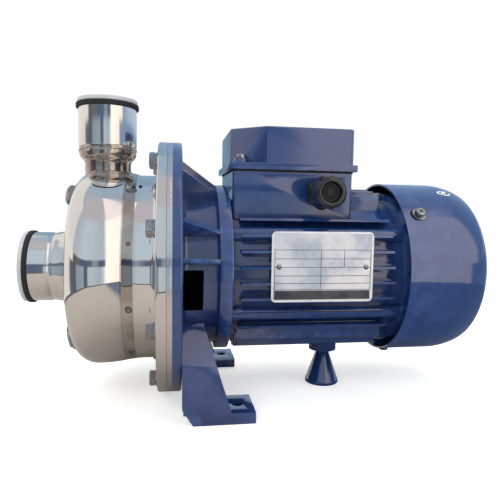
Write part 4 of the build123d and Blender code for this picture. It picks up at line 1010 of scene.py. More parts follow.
@dataclass
class Casing:
    """The pressed stainless casing with its flange, welds and press marks."""

    front: float = reach_of("casing_shell", "x", End.LOW)
    wall: float = 2.5
    suction_bore: float = 28.3
    dome_foot: float = 38.0
    dome_middle: Point = (-147.6, 55.8)
    dome_edge: Point = (-143.9, 74.4)
    crown: Point = (-122.5, 91.2)
    valley: Point = (-90.5, 88.2)
    barrel: Point = (-84.5, 87.5)
    flange_front: float = reach_of("casing_bolt_washers", "x", End.HIGH)
    flange_back: float = reach_of("casing_shell", "x", End.HIGH)
    flange_radius: float = height_of("casing_shell", End.HIGH)
    bend: float = 5.0
    edge: float = 2.0
    groove: tuple[float, float, float] = (-119.0, -96.8, -88.0)
    groove_depth: float = 3.4
    discharge_x: float = -117.0
    neck_bore: float = 18.5
    steps: int = 160

    def dome_headings(self, inset: float) -> tuple[Point, Point, Point]:
        """The dome's start, end and the heading that it ends with, a wall further in by inset.

        Args:
            inset: How far inside the outer wall, in millimetres.

        Returns:
            The start, the end and the heading as (along, radius) pairs.
        """
        start = (self.front + inset, self.dome_foot)
        middle = (self.dome_middle[0] + inset, self.dome_middle[1] - inset / 4)
        end = (self.dome_edge[0] + inset * 0.9, self.dome_edge[1] - inset / 2)
        chord = Vector(end) - Vector(middle)
        first = Vector(middle) - Vector(start)
        turn = first.angle_signed(chord)
        heading = Matrix.Rotation(-turn, 2) @ chord.normalized()
        return start, end, (heading.x, heading.y)

    def outside(self, pen: Pen) -> None:
        """Draw the outside, from the suction bore to the flange's back.

        Args:
            pen: The pen, at the suction bore.
        """
        start, end, heading = self.dome_headings(0.0)
        pen.line(*start).arc(*end, heading, 14).arc(*self.crown, (1, 0), 18).arc(*self.valley, None, 44)
        pen.arc(*self.barrel, (1, 0), 10).line(self.flange_front - self.bend, self.barrel[1])
        pen.arc(self.flange_front, self.barrel[1] + self.bend, (0, 1), 8)
        pen.line(self.flange_front, self.flange_radius - self.edge)
        pen.arc(self.flange_front + self.edge, self.flange_radius, (1, 0), 5)
        pen.line(self.flange_back - 0.6, self.flange_radius).line(self.flange_back, self.flange_radius - 0.6)

    def inside(self, pen: Pen) -> None:
        """Draw the inside, from the flange's back to the suction bore.

        Args:
            pen: The pen, at the flange's back.
        """
        wall = self.wall
        start, end, heading = self.dome_headings(wall)
        pen.line(self.flange_back, self.barrel[1] - wall).line(self.barrel[0], self.barrel[1] - wall)
        pen.line(self.valley[0], self.valley[1] - wall)
        pen.arc(self.crown[0], self.crown[1] - wall, (-1, 0), 12)
        pen.arc(*end, (-heading[0], -heading[1]), 14).line(*start).line(self.front + wall, self.suction_bore)

    def build(self) -> None:
        """Build the shell, cut its discharge opening and dress it."""
        shell = Shape("dressed_casing_shell")
        pen = shell.pen(self.front, self.suction_bore)
        self.outside(pen)
        self.inside(pen)
        pen.close()
        self.press_groove(shell.turn(self.steps))
        shell.place(shaft_place())
        opening = Shape("opening").rod(self.neck_bore, 70.0, 110.0, 64)
        opening.place(upright_place(self.discharge_x, 0, SHAFT_HEIGHT))
        shell.carve(opening)
        shell.finish(SHELL_STEEL, Body.PUMP, ("casing_shell",), 30.0)

    def press_groove(self, shell: Shape) -> None:
        """Press the groove behind the volute into the turned wall: deep at the sides, gone at top and bottom.

        Args:
            shell: The turned casing, before it is placed.
        """
        start, low, end = self.groove
        for vert in shell.mesh.verts:
            along, radius = vert.co.z / MM, vert.co.xy.length / MM
            if radius < self.barrel[1] - self.wall / 2 or not start < along < end:
                continue
            share = ((along - start) / (low - start)) ** 2 if along < low else (end - along) / (end - low)
            side = abs(vert.co.y) / MM / radius
            vert.co.xy *= 1.0 - self.groove_depth * share * side ** 1.5 / radius
        bmesh.ops.recalc_face_normals(shell.mesh, faces=shell.mesh.faces)

    def surface_height(self, along: float, across: float) -> float:
        """The casing's height above the shaft line over a point, near the crown, in millimetres.

        Args:
            along: The station on the shaft line.
            across: The distance from it in Y.

        Returns:
            The height.
        """
        run = along - self.crown[0]
        drop = self.crown[1] - (self.valley[1] if run > 0 else self.dome_edge[1])
        reach = (self.valley[0] if run > 0 else self.dome_edge[0]) - self.crown[0]
        radius = self.crown[1] - drop * (run / reach) ** 2
        return math.sqrt(max(radius * radius - across * across, 1.0))

    def weld_neck(self, radius: float = 21.1, bead: float = 1.5) -> None:
        """Lay the saddle weld round the discharge neck.

        Args:
            radius: From the neck's middle to the bead's, in millimetres.
            bead: The bead's own radius in millimetres.
        """
        def saddle(spot: Vector, angle: float) -> float:
            """The shell's height under a point of the bead, with the weld's ripple on it."""
            height = self.surface_height(self.discharge_x + spot.x / MM, spot.y / MM)
            return height + 0.25 * math.sin(34 * angle)

        weld = Shape("discharge_neck_weld").bead(radius, bead, 10, 120).wave(saddle)
        weld.place(upright_place(self.discharge_x, 0, SHAFT_HEIGHT))
        weld.finish(WELD, Body.PUMP, (), 80.0)

    def weld_suction(self, radius: float = 35.7, bead: float = 1.0) -> None:
        """Lay the ring weld round the suction port's foot.

        Args:
            radius: From the shaft line to the bead's middle, in millimetres.
            bead: The bead's own radius in millimetres.
        """
        weld = Shape("suction_foot_weld").bead(radius, bead, 8, 120)
        weld.wave(lambda spot, angle: 0.2 * math.sin(40 * angle)).place(shaft_place(self.front))
        weld.finish(POLISHED, Body.PUMP, (), 80.0)

    def mark_valley(
        self, first: float = -35.5, count: int = 10, reach: float = 3.0, past: float = 0.8, tilt: float = 0.18
    ) -> None:
        """Press the ring of small round spot marks into the groove's rising side, as dished rims.

        Args:
            first: The first mark's angle from the top, in degrees.
            count: How many marks go round.
            reach: The largest mark's inner radius in millimetres.
            past: How far past the middle of the rising side they sit, in millimetres.
            tilt: How much flatter than that side they lie, in radians.
        """
        marks = Shape("groove_spot_marks")
        end, low = self.groove[2], self.groove[1]
        middle = (low + end) / 2 + past
        for k in range(count):
            angle = first - 360.0 / count * k
            side = abs(math.sin(math.radians(angle)))
            depth = self.groove_depth * side ** 1.5
            lean = math.atan2(depth, end - low) - tilt
            size = reach * (1.0, 0.55, 0.9)[k % 3]
            spot = Shape("spot")
            pen = spot.pen(-0.9, size + 0.8)
            pen.line(0.1, size + 0.35).arc(0.2, size - 0.6, None, 4).line(-0.1, size * 0.45).line(0.1, 0.0)
            seat = self.barrel[1] + 0.95 - depth * 0.41
            long = 1.5 if k % 5 == 0 else 1.0
            spot.turn(28).place(Matrix.Diagonal((1.0, long, 1.0, 1.0)))
            up = (-math.sin(lean), 0, math.cos(lean))
            spot.place(aimed_place((middle, 0, SHAFT_HEIGHT + seat), up))
            marks.join(spot.place(around_shaft(angle)))
        marks.finish(SPOT_METAL, Body.PUMP, (), 60.0)


@dataclass
class SuctionPort:
    """The axial port: tube with its rolled crease and flare, thread, and the two rings at its mouth."""

    mouth: float = reach_of("suction_seal_ring", "x", End.LOW)
    foot: float = reach_of("suction_socket", "x", End.HIGH)
    bore: float = 28.3
    outer: float = 32.5
    flare: float = 3.0
    crease: float = -166.0
    face: float = 1.2
    lip: float = 1.5
    grip: float = 3.0
    rim: float = 4.0
    pitch: float = 2.309

    def build(self) -> None:
        """Build the tube and its rings."""
        tube = Shape("dressed_suction_socket")
        start = self.mouth + self.face
        pen = tube.pen(start, self.bore)
        pen.line(start, self.outer).line(self.crease - 4.0, self.outer)
        pen.arc(self.crease, self.outer - 0.7, None, 5).arc(self.crease + 2.5, self.outer - 0.3, None, 4)
        pen.line(self.crease + 4.5, self.outer).arc(self.foot, self.outer + self.flare, None, 9)
        pen.line(self.foot, self.bore).close()
        tube.turn(128).place(shaft_place())
        tube.finish(POLISHED, Body.PUMP, ("suction_socket",), 40.0)
        self.build_thread()
        seal = Shape("dressed_suction_seal_ring")
        pen = seal.pen(self.mouth, self.bore)
        rim, end = self.outer + self.lip, start + self.grip
        pen.line(self.mouth, rim - 0.6).arc(self.mouth + 0.6, rim, (1, 0), 3)
        pen.line(end - 0.6, rim).arc(end, rim - 0.6, (0, -1), 3)
        pen.line(end, self.outer).line(start, self.outer).line(start, self.bore).close()
        seal.turn(96).place(shaft_place()).finish(BLACK_RUBBER, Body.PUMP, ("suction_seal_ring",), 40.0)
        pale = ring(self.outer + self.lip / 2, self.bore, self.mouth - self.rim, self.mouth, 96, 0.8)
        pale.name = "dressed_suction_rim_ring"
        pale.place(shaft_place()).finish(PALE_NYLON, Body.PUMP, ("suction_rim_ring",), 40.0)

    def build_thread(self) -> None:
        """Cut the look of a pipe thread inside the mouth: one helical ridge."""
        helix(Shape("suction_thread"), self.bore, self.pitch, 9, shaft_place(self.mouth + self.face + 0.5))


@dataclass
class DischargePort:
    """The upright port: neck, rounded shoulder, threaded socket and its two rings."""

    x: float = -117.0
    bore: float = 22.45
    outer: float = 26.5
    neck: float = 21.0
    neck_bore: float = 18.5
    low: float = 80.0
    shoulder: float = 100.0
    crease: float = 113.0
    seam: float = 1.25
    top: float = height_of("discharge_seal_ring", End.HIGH)
    face: float = 1.2
    lip: float = 2.2
    grip: float = 3.0
    rim: float = 4.0
    thread_depth: float = 26.0
    pitch: float = 2.309

    def frame(self) -> Matrix:
        """The port's own frame, with heights from the shaft line."""
        return upright_place(self.x, 0, SHAFT_HEIGHT)

    def build_shoulder(self) -> None:
        """Build the neck and shoulder up to the socket's crease, and the uneven seam weld under it."""
        lower = Shape("discharge_shoulder")
        pen = lower.pen(self.low, self.neck_bore)
        pen.line(self.low, self.neck).line(self.shoulder - 3.5, self.neck)
        pen.arc(self.shoulder + 1.2, self.neck + 1.6, None, 7)
        pen.arc(self.shoulder + 7.2, self.outer - 0.5, (1, 0), 9).line(self.crease + 0.1, self.outer - 0.5)
        pen.line(self.crease + 0.1, self.neck_bore).close()
        lower.turn(128).place(self.frame()).finish(HEAT_TINTED, Body.PUMP, (), 40.0)
        middle = self.crease - 3.0

        def ripple(spot: Vector, angle: float) -> float:
            """The seam's height, uneven round the socket."""
            return middle + 0.7 * math.sin(5 * angle + 0.6) + 0.3 * math.sin(37 * angle)

        seam = Shape("discharge_seam_weld").bead(self.outer - 0.9, self.seam, 10, 160).wave(ripple)
        seam.place(self.frame()).finish(HEAT_TINTED, Body.PUMP, (), 80.0)

    def build(self) -> None:
        """Build the socket and its rings."""
        socket = Shape("dressed_discharge_socket")
        end = self.top - self.face
        pen = socket.pen(self.crease, self.neck_bore + 1.0)
        pen.line(self.crease, self.outer - 0.7).arc(self.crease + 0.8, self.outer, (1, 0), 4)
        pen.line(end, self.outer)
        pen.line(end, self.bore).line(end - self.thread_depth, self.bore)
        pen.line(end - self.thread_depth - 2.0, self.neck_bore + 1.0).close()
        socket.turn(128).place(self.frame())
        socket.finish(POLISHED, Body.PUMP, ("discharge_socket",), 40.0)
        self.build_shoulder()
        helix(Shape("discharge_thread"), self.bore, self.pitch, 9,
              upright_place(self.x, 0, SHAFT_HEIGHT + end - 9.5 * self.pitch))
        seal = Shape("dressed_discharge_seal_ring")
        pen = seal.pen(self.top, self.bore)
        edge, foot = self.outer + self.lip, end - self.grip
        pen.line(self.top, edge - 0.6).arc(self.top - 0.6, edge, (-1, 0), 3)
        pen.line(foot + 0.6, edge).arc(foot, edge - 0.6, (0, -1), 3)
        pen.line(foot, self.outer).line(end, self.outer).line(end, self.bore).close()
        seal.turn(96).place(self.frame()).finish(BLACK_RUBBER, Body.PUMP, ("discharge_seal_ring",), 40.0)
        pale = ring(self.outer + self.lip / 2, self.bore, self.top, self.top + self.rim, 96, 0.8)
        pale.name = "dressed_discharge_rim_ring"
        pale.place(self.frame()).finish(PALE_NYLON, Body.PUMP, ("discharge_rim_ring",), 40.0)


def helix(shape: Shape, bore: float, pitch: float, turns: int, place: Matrix) -> None:
    """A thread's ridge inside a bore.

    Args:
        shape: The empty piece to draw it in.
        bore: The bore's radius in millimetres.
        pitch: The thread's pitch in millimetres.
        turns: How many times it goes round.
        place: The frame whose local Z is the bore's line, at the ridge's start.
    """
    flank, rounds = pitch * 0.4, 40
    shape.pen(-flank, bore + 0.1).line(0.0, bore - 0.9).line(flank, bore + 0.1).close()
    shape.sweep(360.0 * turns, rounds * turns, pitch / rounds)
    shape.place(place).finish(PRESSED, Body.PUMP, (), 50.0)


@dataclass
class FlangeJoint:
    """The clamped joint: cover ring, eight hexagon bolts and their spring washers."""

    front: float = reach_of("casing_bolt_washers", "x", End.HIGH)
    cover_front: float = reach_of("casing_shell", "x", End.HIGH)
    cover_back: float = reach_of("bracket", "x", End.LOW)
    radius: float = height_of("casing_shell", End.HIGH)
    circle: float = 106.5
    count: int = 8
    seam: float = 0.05
    across_flats: float = 13.0
    head: float = 5.5
    washer: float = 2.0
    washer_radius: float = 7.25
    bolt_radius: float = 4.0
    end: float = reach_of("casing_bolts", "x", End.HIGH)

    def places(self) -> list[Matrix]:
        """Frames of the bolts' seats, with local Z towards the suction side.

        Returns:
            One frame for each bolt.
        """
        turn = Matrix.Rotation(-math.pi / 2, 4, "Y")
        found = []
        for k in range(self.count):
            angle = math.radians(22.5 + 45.0 * k)
            y, z = self.circle * math.cos(angle), self.circle * math.sin(angle)
            found.append(Matrix.Translation(Vector((self.front, y, SHAFT_HEIGHT + z)) * MM) @ turn)
        return found

    def build(self) -> None:
        """Build the cover's visible ring, the bolts and the washers."""
        cover = Shape("dressed_cover_rim")
        front, back, inner = self.cover_front + self.seam, self.cover_back - self.seam, self.radius - 20.0
        rim, edge = self.radius, 0.9
        pen = cover.pen(front, inner).line(front, rim - edge).arc(front + edge, rim, (1, 0), 4)
        pen.line(self.cover_back - edge, rim).arc(back, rim - edge, (0, -1), 4).line(back, inner).close()
        cover.turn(160).place(shaft_place()).finish(PRESSED, Body.PUMP, (), 30.0)
        bolts, washers = Shape("dressed_casing_bolts"), Shape("dressed_casing_bolt_washers")
        for k, place in enumerate(self.places()):
            spin = Matrix.Rotation(math.radians(17.0 * k), 4, "Z")
            bolts.join(self.bolt().place(place @ spin))
            washer = split_washer(self.washer_radius, self.bolt_radius + 0.2, 0.0, self.washer)
            washers.join(washer.place(place @ spin))
        bolts.finish(PLATED, Body.PUMP, ("casing_bolts",), 30.0)
        washers.finish(PLATED, Body.PUMP, ("casing_bolt_washers",), 30.0)

    def bolt(self) -> Shape:
        """One hexagon bolt: chamfered head with its washer face, and a round shank through the joint.

        Returns:
            The bolt on local Z, with its seat at 0.
        """
        corner = self.across_flats / math.sqrt(3.0)
        head = Shape("bolt").rod(corner, self.washer + 0.4, self.washer + self.head, 6)
        dome = Shape("chamfer")
        pen = dome.pen(self.washer, 0.0).line(self.washer, self.across_flats / 2 * 0.96)
        pen.line(self.washer + 0.4, self.across_flats / 2 * 0.96).line(self.washer + 0.4, corner + 1.0)
        pen.line(self.washer + self.head - 1.0, corner + 0.35)
        pen.line(self.washer + self.head, self.across_flats / 2 * 0.9).line(self.washer + self.head, 0.0)
        head.carve(dome.turn(48), "INTERSECT")
        head.join(Shape("face").rod(self.across_flats / 2 * 0.96, self.washer, self.washer + 0.6, 32))
        return head.join(Shape("shank").rod(self.bolt_radius, self.front - self.end, self.washer + 1, 24))


@dataclass
class Plugs:
    """The priming and drain plugs on the casing's front."""

    def build(self) -> None:
        """Round the plugs' edges."""
        for name in ("priming_plug", "drain_plug"):
            plug = copied("dressed_" + name, name)
            plug.soften(0.5, 2, 25.0).finish(PLATED, Body.PUMP, (name,), 30.0)


@dataclass
class Bracket:
    """The cast bracket: rounded edges all over, and smooth round skins over its flange, barrel and ring."""

    flange_front: float = reach_of("bracket", "x", End.LOW)
    flange_back: float = -48.0
    flange_radius: float = height_of("bracket", End.HIGH)
    barrel_radius: float = 74.0
    ring_front: float = -16.0
    ring_back: float = -5.0
    ring_radius: float = 80.0
    skin: float = 0.06
    window: tuple[Point, Point] = ((-49.0, -31.5), (-29.5, 5.5))

    def build(self) -> None:
        """Build the softened casting and its skins."""
        casting = copied("dressed_bracket", "bracket")
        casting.soften(0.9, 2, 40.0).finish(CAST_ENAMEL, Body.PUMP, ("bracket",), 32.0)
        self.build_flange()
        self.build_barrel()

    def build_flange(self) -> None:
        """A smooth skin over the flange's rim and back."""
        skin = Shape("bracket_flange_skin")
        back, rim = self.flange_back + self.skin, self.flange_radius + self.skin
        pen = skin.pen(self.flange_front + 0.02, self.barrel_radius + 8.0)
        pen.line(self.flange_front + 0.02, rim - 0.8).arc(self.flange_front + 0.82, rim, (1, 0), 4)
        pen.line(back - 2.0, rim).arc(back, rim - 2.0, (0, -1), 6).line(back, self.barrel_radius + 5.0)
        pen.arc(back + 5.0, self.barrel_radius, (1, 0), 8).line(back + 5.0, self.barrel_radius - 2.0).close()
        skin.turn(160).place(shaft_place()).carve(self.window_cutter())
        skin.finish(CAST_ENAMEL, Body.PUMP, (), 30.0)

    def build_barrel(self) -> None:
        """A smooth skin over the lantern's barrel and the ring next to the motor, open at the window."""
        skin = Shape("bracket_barrel_skin")
        barrel, rim = self.barrel_radius + self.skin, self.ring_radius + self.skin
        pen = skin.pen(self.flange_back, barrel - 1.5)
        pen.line(self.flange_back, barrel).line(self.ring_front - 4.0, barrel)
        pen.arc(self.ring_front + 0.5, barrel + 3.5, None, 6).arc(self.ring_front + 2.5, rim, (1, 0), 5)
        pen.line(self.ring_back - 1.0, rim).line(self.ring_back - 1.0, barrel - 1.5).close()
        skin.turn(144).place(shaft_place()).carve(self.window_cutter())
        skin.finish(CAST_ENAMEL, Body.PUMP, (), 30.0)

    def window_cutter(self) -> Shape:
        """The block that keeps the near side's window open."""
        (x0, z0), (x1, z1) = self.window
        low = (x0, -self.flange_radius, SHAFT_HEIGHT + z0)
        return Shape("window").block(low, (x1, 0.0, SHAFT_HEIGHT + z1))


@dataclass
class Motor:
    """The finned housing, terminal box and lid, with every cast edge rounded, and the fan."""

    fin_edge: float = 0.45
    cast_edge: float = 0.9
    fan_edge: float = 0.3

    def build(self) -> None:
        """Round the edges of the housing, box, lid and fan."""
        edges = {
            "motor_housing": self.fin_edge,
            "terminal_box": self.cast_edge,
            "terminal_lid": self.cast_edge,
        }
        for name, width in edges.items():
            piece = copied("dressed_" + name, name)
            piece.soften(width, 2, 40.0).finish(CAST_ENAMEL, Body.PUMP, (name,), 32.0)
        fan = copied("dressed_fan", "fan")
        fan.soften(self.fan_edge, 1, 40.0).finish(BLACK_NYLON, Body.ROTOR, ("fan",), 32.0)


@dataclass
class LidScrews:
    """The two pan-head screws at the lid's cut corners."""

    places: tuple[Point, Point] = ((4.5, -41.5), (100.0, 41.5))
    head: float = 4.2
    height: float = 3.6
    seat: float = height_of("lid_screws", End.HIGH) - 3.6
    shank: float = 2.5
    length: float = 22.0

    def build(self) -> None:
        """Build both screws with a thin washer under each head."""
        screws = Shape("dressed_lid_screws")
        for x, y in self.places:
            place = upright_place(x, y, SHAFT_HEIGHT + self.seat)
            screws.join(ring(self.head + 0.7, self.shank, 0.0, 0.7, 32, 0.15).place(place))
            screws.join(pan_screw(self.head, self.height - 0.7, self.shank, self.length).place(
                place @ Matrix.Translation((0, 0, 0.7 * MM)) @ Matrix.Rotation(0.4, 4, "Z")))
        screws.finish(PLATED, Body.PUMP, ("lid_screws",), 35.0)


@dataclass
class Gland:
    """The cable gland: hexagon body, fluted dome nut, clamping ring and blanking plug."""

    x: float = 78.0
    y: float = reach_of("terminal_box", "y", End.LOW)
    z: float = 72.5
    across_flats: float = 27.0
    collar: float = 9.0
    nut: float = 14.0
    length: float = 24.0
    bore: float = 8.0

    def frame(self) -> Matrix:
        """The gland's own frame, with local Z out of the box's near face."""
        return aimed_place((self.x, self.y, SHAFT_HEIGHT + self.z), (0, -1, 0))

    def build(self) -> None:
        """Build body, nut and plug."""
        corner = self.across_flats / math.sqrt(3.0)
        body = Shape("dressed_gland_body").rod(corner, 0.0, self.collar, 6)
        body.soften(0.8, 2, 40.0).join(ring(11.4, self.bore, -8.0, self.collar + 8.0, 48))
        body.join(ring(13.2, 10.0, self.collar - 0.2, self.collar + 1.6, 48, 0.5))
        body.place(self.frame()).finish(BLACK_NYLON, Body.PUMP, ("gland_body",), 35.0)
        self.build_nut()
        self.build_plug()

    def build_nut(self) -> None:
        """Build the dome nut: twelve flats that run out into a rounded end."""
        top = self.collar + self.length
        dome = Shape("dome")
        pen = dome.pen(self.collar + 1.8, self.bore + 0.6)
        pen.line(self.collar + 1.8, self.nut - 0.6).arc(self.collar + 2.6, self.nut, (1, 0), 3)
        pen.line(top - 7.5, self.nut).arc(top, self.bore + 2.2, (0, -1), 10)
        pen.arc(top - 1.4, self.bore + 0.6, (-1, 0), 4).close()
        dome.turn(72)
        flats = Shape("flats").rod(self.nut * 0.975 / math.cos(math.pi / 12), self.collar, top + 1.0, 12)
        dome.carve(flats, "INTERSECT")
        dome.name = "dressed_gland_nut"
        dome.place(self.frame()).finish(BLACK_NYLON, Body.PUMP, ("gland_nut",), 25.0)

    def build_plug(self) -> None:
        """Build the domed blanking plug a little below the nut's mouth."""
        plug = Shape("dressed_gland_plug")
        top = self.collar + self.length
        pen = plug.pen(self.collar, 0.0).line(self.collar, self.bore - 0.1).line(top - 2.6, self.bore - 0.1)
        pen.line(top - 2.6, self.bore - 1.3).line(top - 4.2, self.bore - 1.9).line(top - 4.2, self.bore - 2.8)
        pen.arc(top - 2.2, 0.0, (0, -1), 10)
        plug.turn(48).place(self.frame()).finish(BLACK_RUBBER, Body.PUMP, ("gland_plug",), 40.0)


@dataclass
class Cowl:
    """The pressed fan cowl with its air slots, screws and rotation sticker."""

    start: float = reach_of("fan_cowl", "x", End.LOW)
    bend: float = 200.0
    radius: float = height_of("fan_cowl", End.HIGH)
    wall: float = 1.6
    corner: Point = (225.0, 80.0)
    face: Point = (235.0, 66.0)
    end: float = reach_of("fan_cowl", "x", End.HIGH)
    screw_x: float = 167.0
    screw_angles: tuple[float, ...] = (180.0, -50.0, 50.0)
    slot_rows: int = 4
    slot_count: int = 8
    slot_width: float = 5.0
    slot_first: float = 12.0
    slot_pitch: float = 12.0
    open_share: float = 0.6
    steps: int = 144

    def profile(self, pen: Pen, inset: float, outward: bool) -> None:
        """Draw one wall of the cowl from its open edge to its middle, or back.

        Args:
            pen: The pen, where the wall starts.
            inset: How far inside the outer wall it runs.
            outward: Whether it is drawn from the open edge to the middle.
        """
        side = self.radius - inset
        corner = (self.corner[0] - inset / 2, self.corner[1] - inset)
        face = (self.face[0] - inset, self.face[1] - inset / 2)
        if outward:
            pen.line(self.start, side).line(self.bend, side).arc(*corner, None, 12).arc(*face, None, 10)
            pen.line(self.end - inset, 0.0)
            return
        back = self.heading_back(side, corner)
        pen.line(*face).arc(*corner, back, 10).arc(self.bend, side, (-1, 0), 12).line(self.start, side)

    def heading_back(self, side: float, corner: Point) -> Point:
        """The heading with which the inner wall, drawn backwards, leaves its corner.

        Args:
            side: The wall's radius on the straight part.
            corner: The wall's corner, along and radius.

        Returns:
            The heading as (along, radius).
        """
        chord = Vector((corner[0] - self.bend, corner[1] - side))
        angle = 2.0 * math.atan2(chord.y, chord.x)
        return (-math.cos(angle), -math.sin(angle))

    def build(self) -> None:
        """Build the shell with its slots, and what sits on it."""
        shell = Shape("dressed_fan_cowl")
        pen = shell.pen(self.start + 0.4, self.radius - self.wall)
        self.profile(pen, 0.0, True)
        pen.line(self.end - self.wall, 0.0)
        self.profile(pen, self.wall, False)
        shell.turn(self.steps).place(shaft_place())
        shell.carve(self.slots())
        shell.finish(ENAMEL, Body.PUMP, ("fan_cowl",), 30.0)
        self.build_screws()
        self.build_sticker()

    def slots(self) -> Shape:
        """The cutter of all air slots: flat rings' arcs with round ends.

        Returns:
            The cutter, in place.
        """
        cutter = Shape("slots")
        half = self.slot_width / 2
        for row in range(self.slot_rows):
            radius = self.slot_first + row * self.slot_pitch
            count = self.slot_count if row else self.slot_count // 2
            sweep = 360.0 / count * self.open_share
            for k in range(count):
                start = 360.0 * k / count + (180.0 / count if row % 2 else 0.0)
                turned = Matrix.Rotation(math.radians(start), 4, "Z")
                cutter.join(self.one_slot(radius, half, sweep).place(turned))
        turn = Matrix.Rotation(math.pi / 2, 4, "Z")
        frame_x = shaft_place() @ Matrix.Rotation(math.pi, 4, "Z")
        return cutter.place(turn).place(frame_x)

    def one_slot(self, radius: float, half: float, sweep: float) -> Shape:
        """One arc of a slot on local Z.

        Args:
            radius: The slot's middle radius.
            half: Half of the slot's width.
            sweep: How far it goes round, in degrees.

        Returns:
            The cutter of one slot.
        """
        slot = Shape("slot")
        low, high = self.corner[0] - 4.0, self.end + 5.0
        pen = slot.pen(low, radius - half).line(low, radius + half)
        pen.line(high, radius + half).line(high, radius - half).close()
        return slot.sweep(sweep, 8)

    def build_screws(self) -> None:
        """Build the three screws, their flat and spring washers, and near-black discs of painted shadow in
        their slots.
        """
        screws, washers = Shape("dressed_cowl_screws"), Shape("dressed_cowl_screw_washers")
        slot_shadows = Shape("cowl_slot_painted_shadows")
        for angle in self.screw_angles:
            place = around_shaft(angle) @ upright_place(self.screw_x, 0, SHAFT_HEIGHT + self.radius)
            screws.join(pan_screw(4.8, 3.0, 2.5, 7.0).place(
                place @ Matrix.Translation((0, 0, 2.4 * MM)) @ Matrix.Rotation(0.5, 4, "Z")))
            washers.join(ring(6.5, 2.6, 0.0, 1.0, 40, 0.2).place(place))
            washers.join(split_washer(5.0, 2.7, 1.0, 2.4).place(place))
            # Under each screw a near-black disc stands in for the shade in the cowl's slot: painted shadow.
            shift = Matrix.Translation((-3.0 * MM, 0, -0.08 * MM))
            slot_shadows.join(Shape("lip").rod(5.6, 0.0, 0.12, 32).place(place @ shift))
        screws.finish(PLATED, Body.PUMP, ("cowl_screws",), 35.0)
        washers.finish(PLATED, Body.PUMP, ("cowl_screw_washers",), 30.0)
        slot_shadows.finish(SHADOW_HOLE, Body.PUMP, (), 30.0)

    def shell_point(self, along: float, angle: float, lift: float) -> Vector:
        """A point over the cowl's shoulder: station, angle from the top in radians and lift, in millimetres.

        Args:
            along: The station.
            angle: The angle from the top.
            lift: How far over the wall.

        Returns:
            The point, in metres.
        """
        chord = Vector((self.corner[0] - self.bend, self.corner[1] - self.radius))
        size = chord.length_squared / (2.0 * -chord.y)
        run = max(along - self.bend, 0.0)
        radius = self.radius - size + math.sqrt(size * size - run * run) + lift
        return Vector((along, -radius * math.sin(angle), SHAFT_HEIGHT + radius * math.cos(angle))) * MM

    def build_sticker(
        self, x: float = 205.5, angle: float = 27.0, long: float = 7.0, wide: float = 4.6
    ) -> None:
        """Lay the small white oval with its turning arrow on the cowl's shoulder.

        Args:
            x: The sticker's station in millimetres.
            angle: Its angle from the top in degrees.
            long: Half of its length.
            wide: Half of its width.
        """
        disc = Shape("rotation_sticker")
        bmesh.ops.create_grid(disc.mesh, x_segments=24, y_segments=24, size=1.0)
        for vert in disc.mesh.verts:
            u, v = vert.co.x, vert.co.y
            u, v = u * math.sqrt(1 - v * v / 2), v * math.sqrt(1 - u * u / 2)
            vert.co = self.shell_point(x + u * long, math.radians(angle) + v * wide / self.radius, 0.12)
        bmesh.ops.solidify(disc.mesh, geom=list(disc.mesh.faces), thickness=0.0001)
        bmesh.ops.recalc_face_normals(disc.mesh, faces=disc.mesh.faces)
        disc.finish(STICKER, Body.PUMP, (), 60.0)
        arrow = Shape("rotation_sticker_arrow")
        arrow.pen(0.0, 3.0).line(0.0, 4.6)
        arrow.turn(24, 250.0)
        head = [(6.6, 0.0), (1.0, 0.0), (3.8, -4.6)]
        verts = [bmesh.ops.create_vert(arrow.mesh, co=(px * MM, py * MM, 0))["vert"][0] for px, py in head]
        bmesh.ops.contextual_create(arrow.mesh, geom=verts)
        for vert in arrow.mesh.verts:
            u, v = vert.co.x / MM, vert.co.y / MM
            vert.co = self.shell_point(x + u * 1.05, math.radians(angle) + v * 0.65 / self.radius, 0.32)
        bmesh.ops.recalc_face_normals(arrow.mesh, faces=arrow.mesh.faces)
        arrow.finish(PLATE_INK, Body.PUMP, (), 60.0)


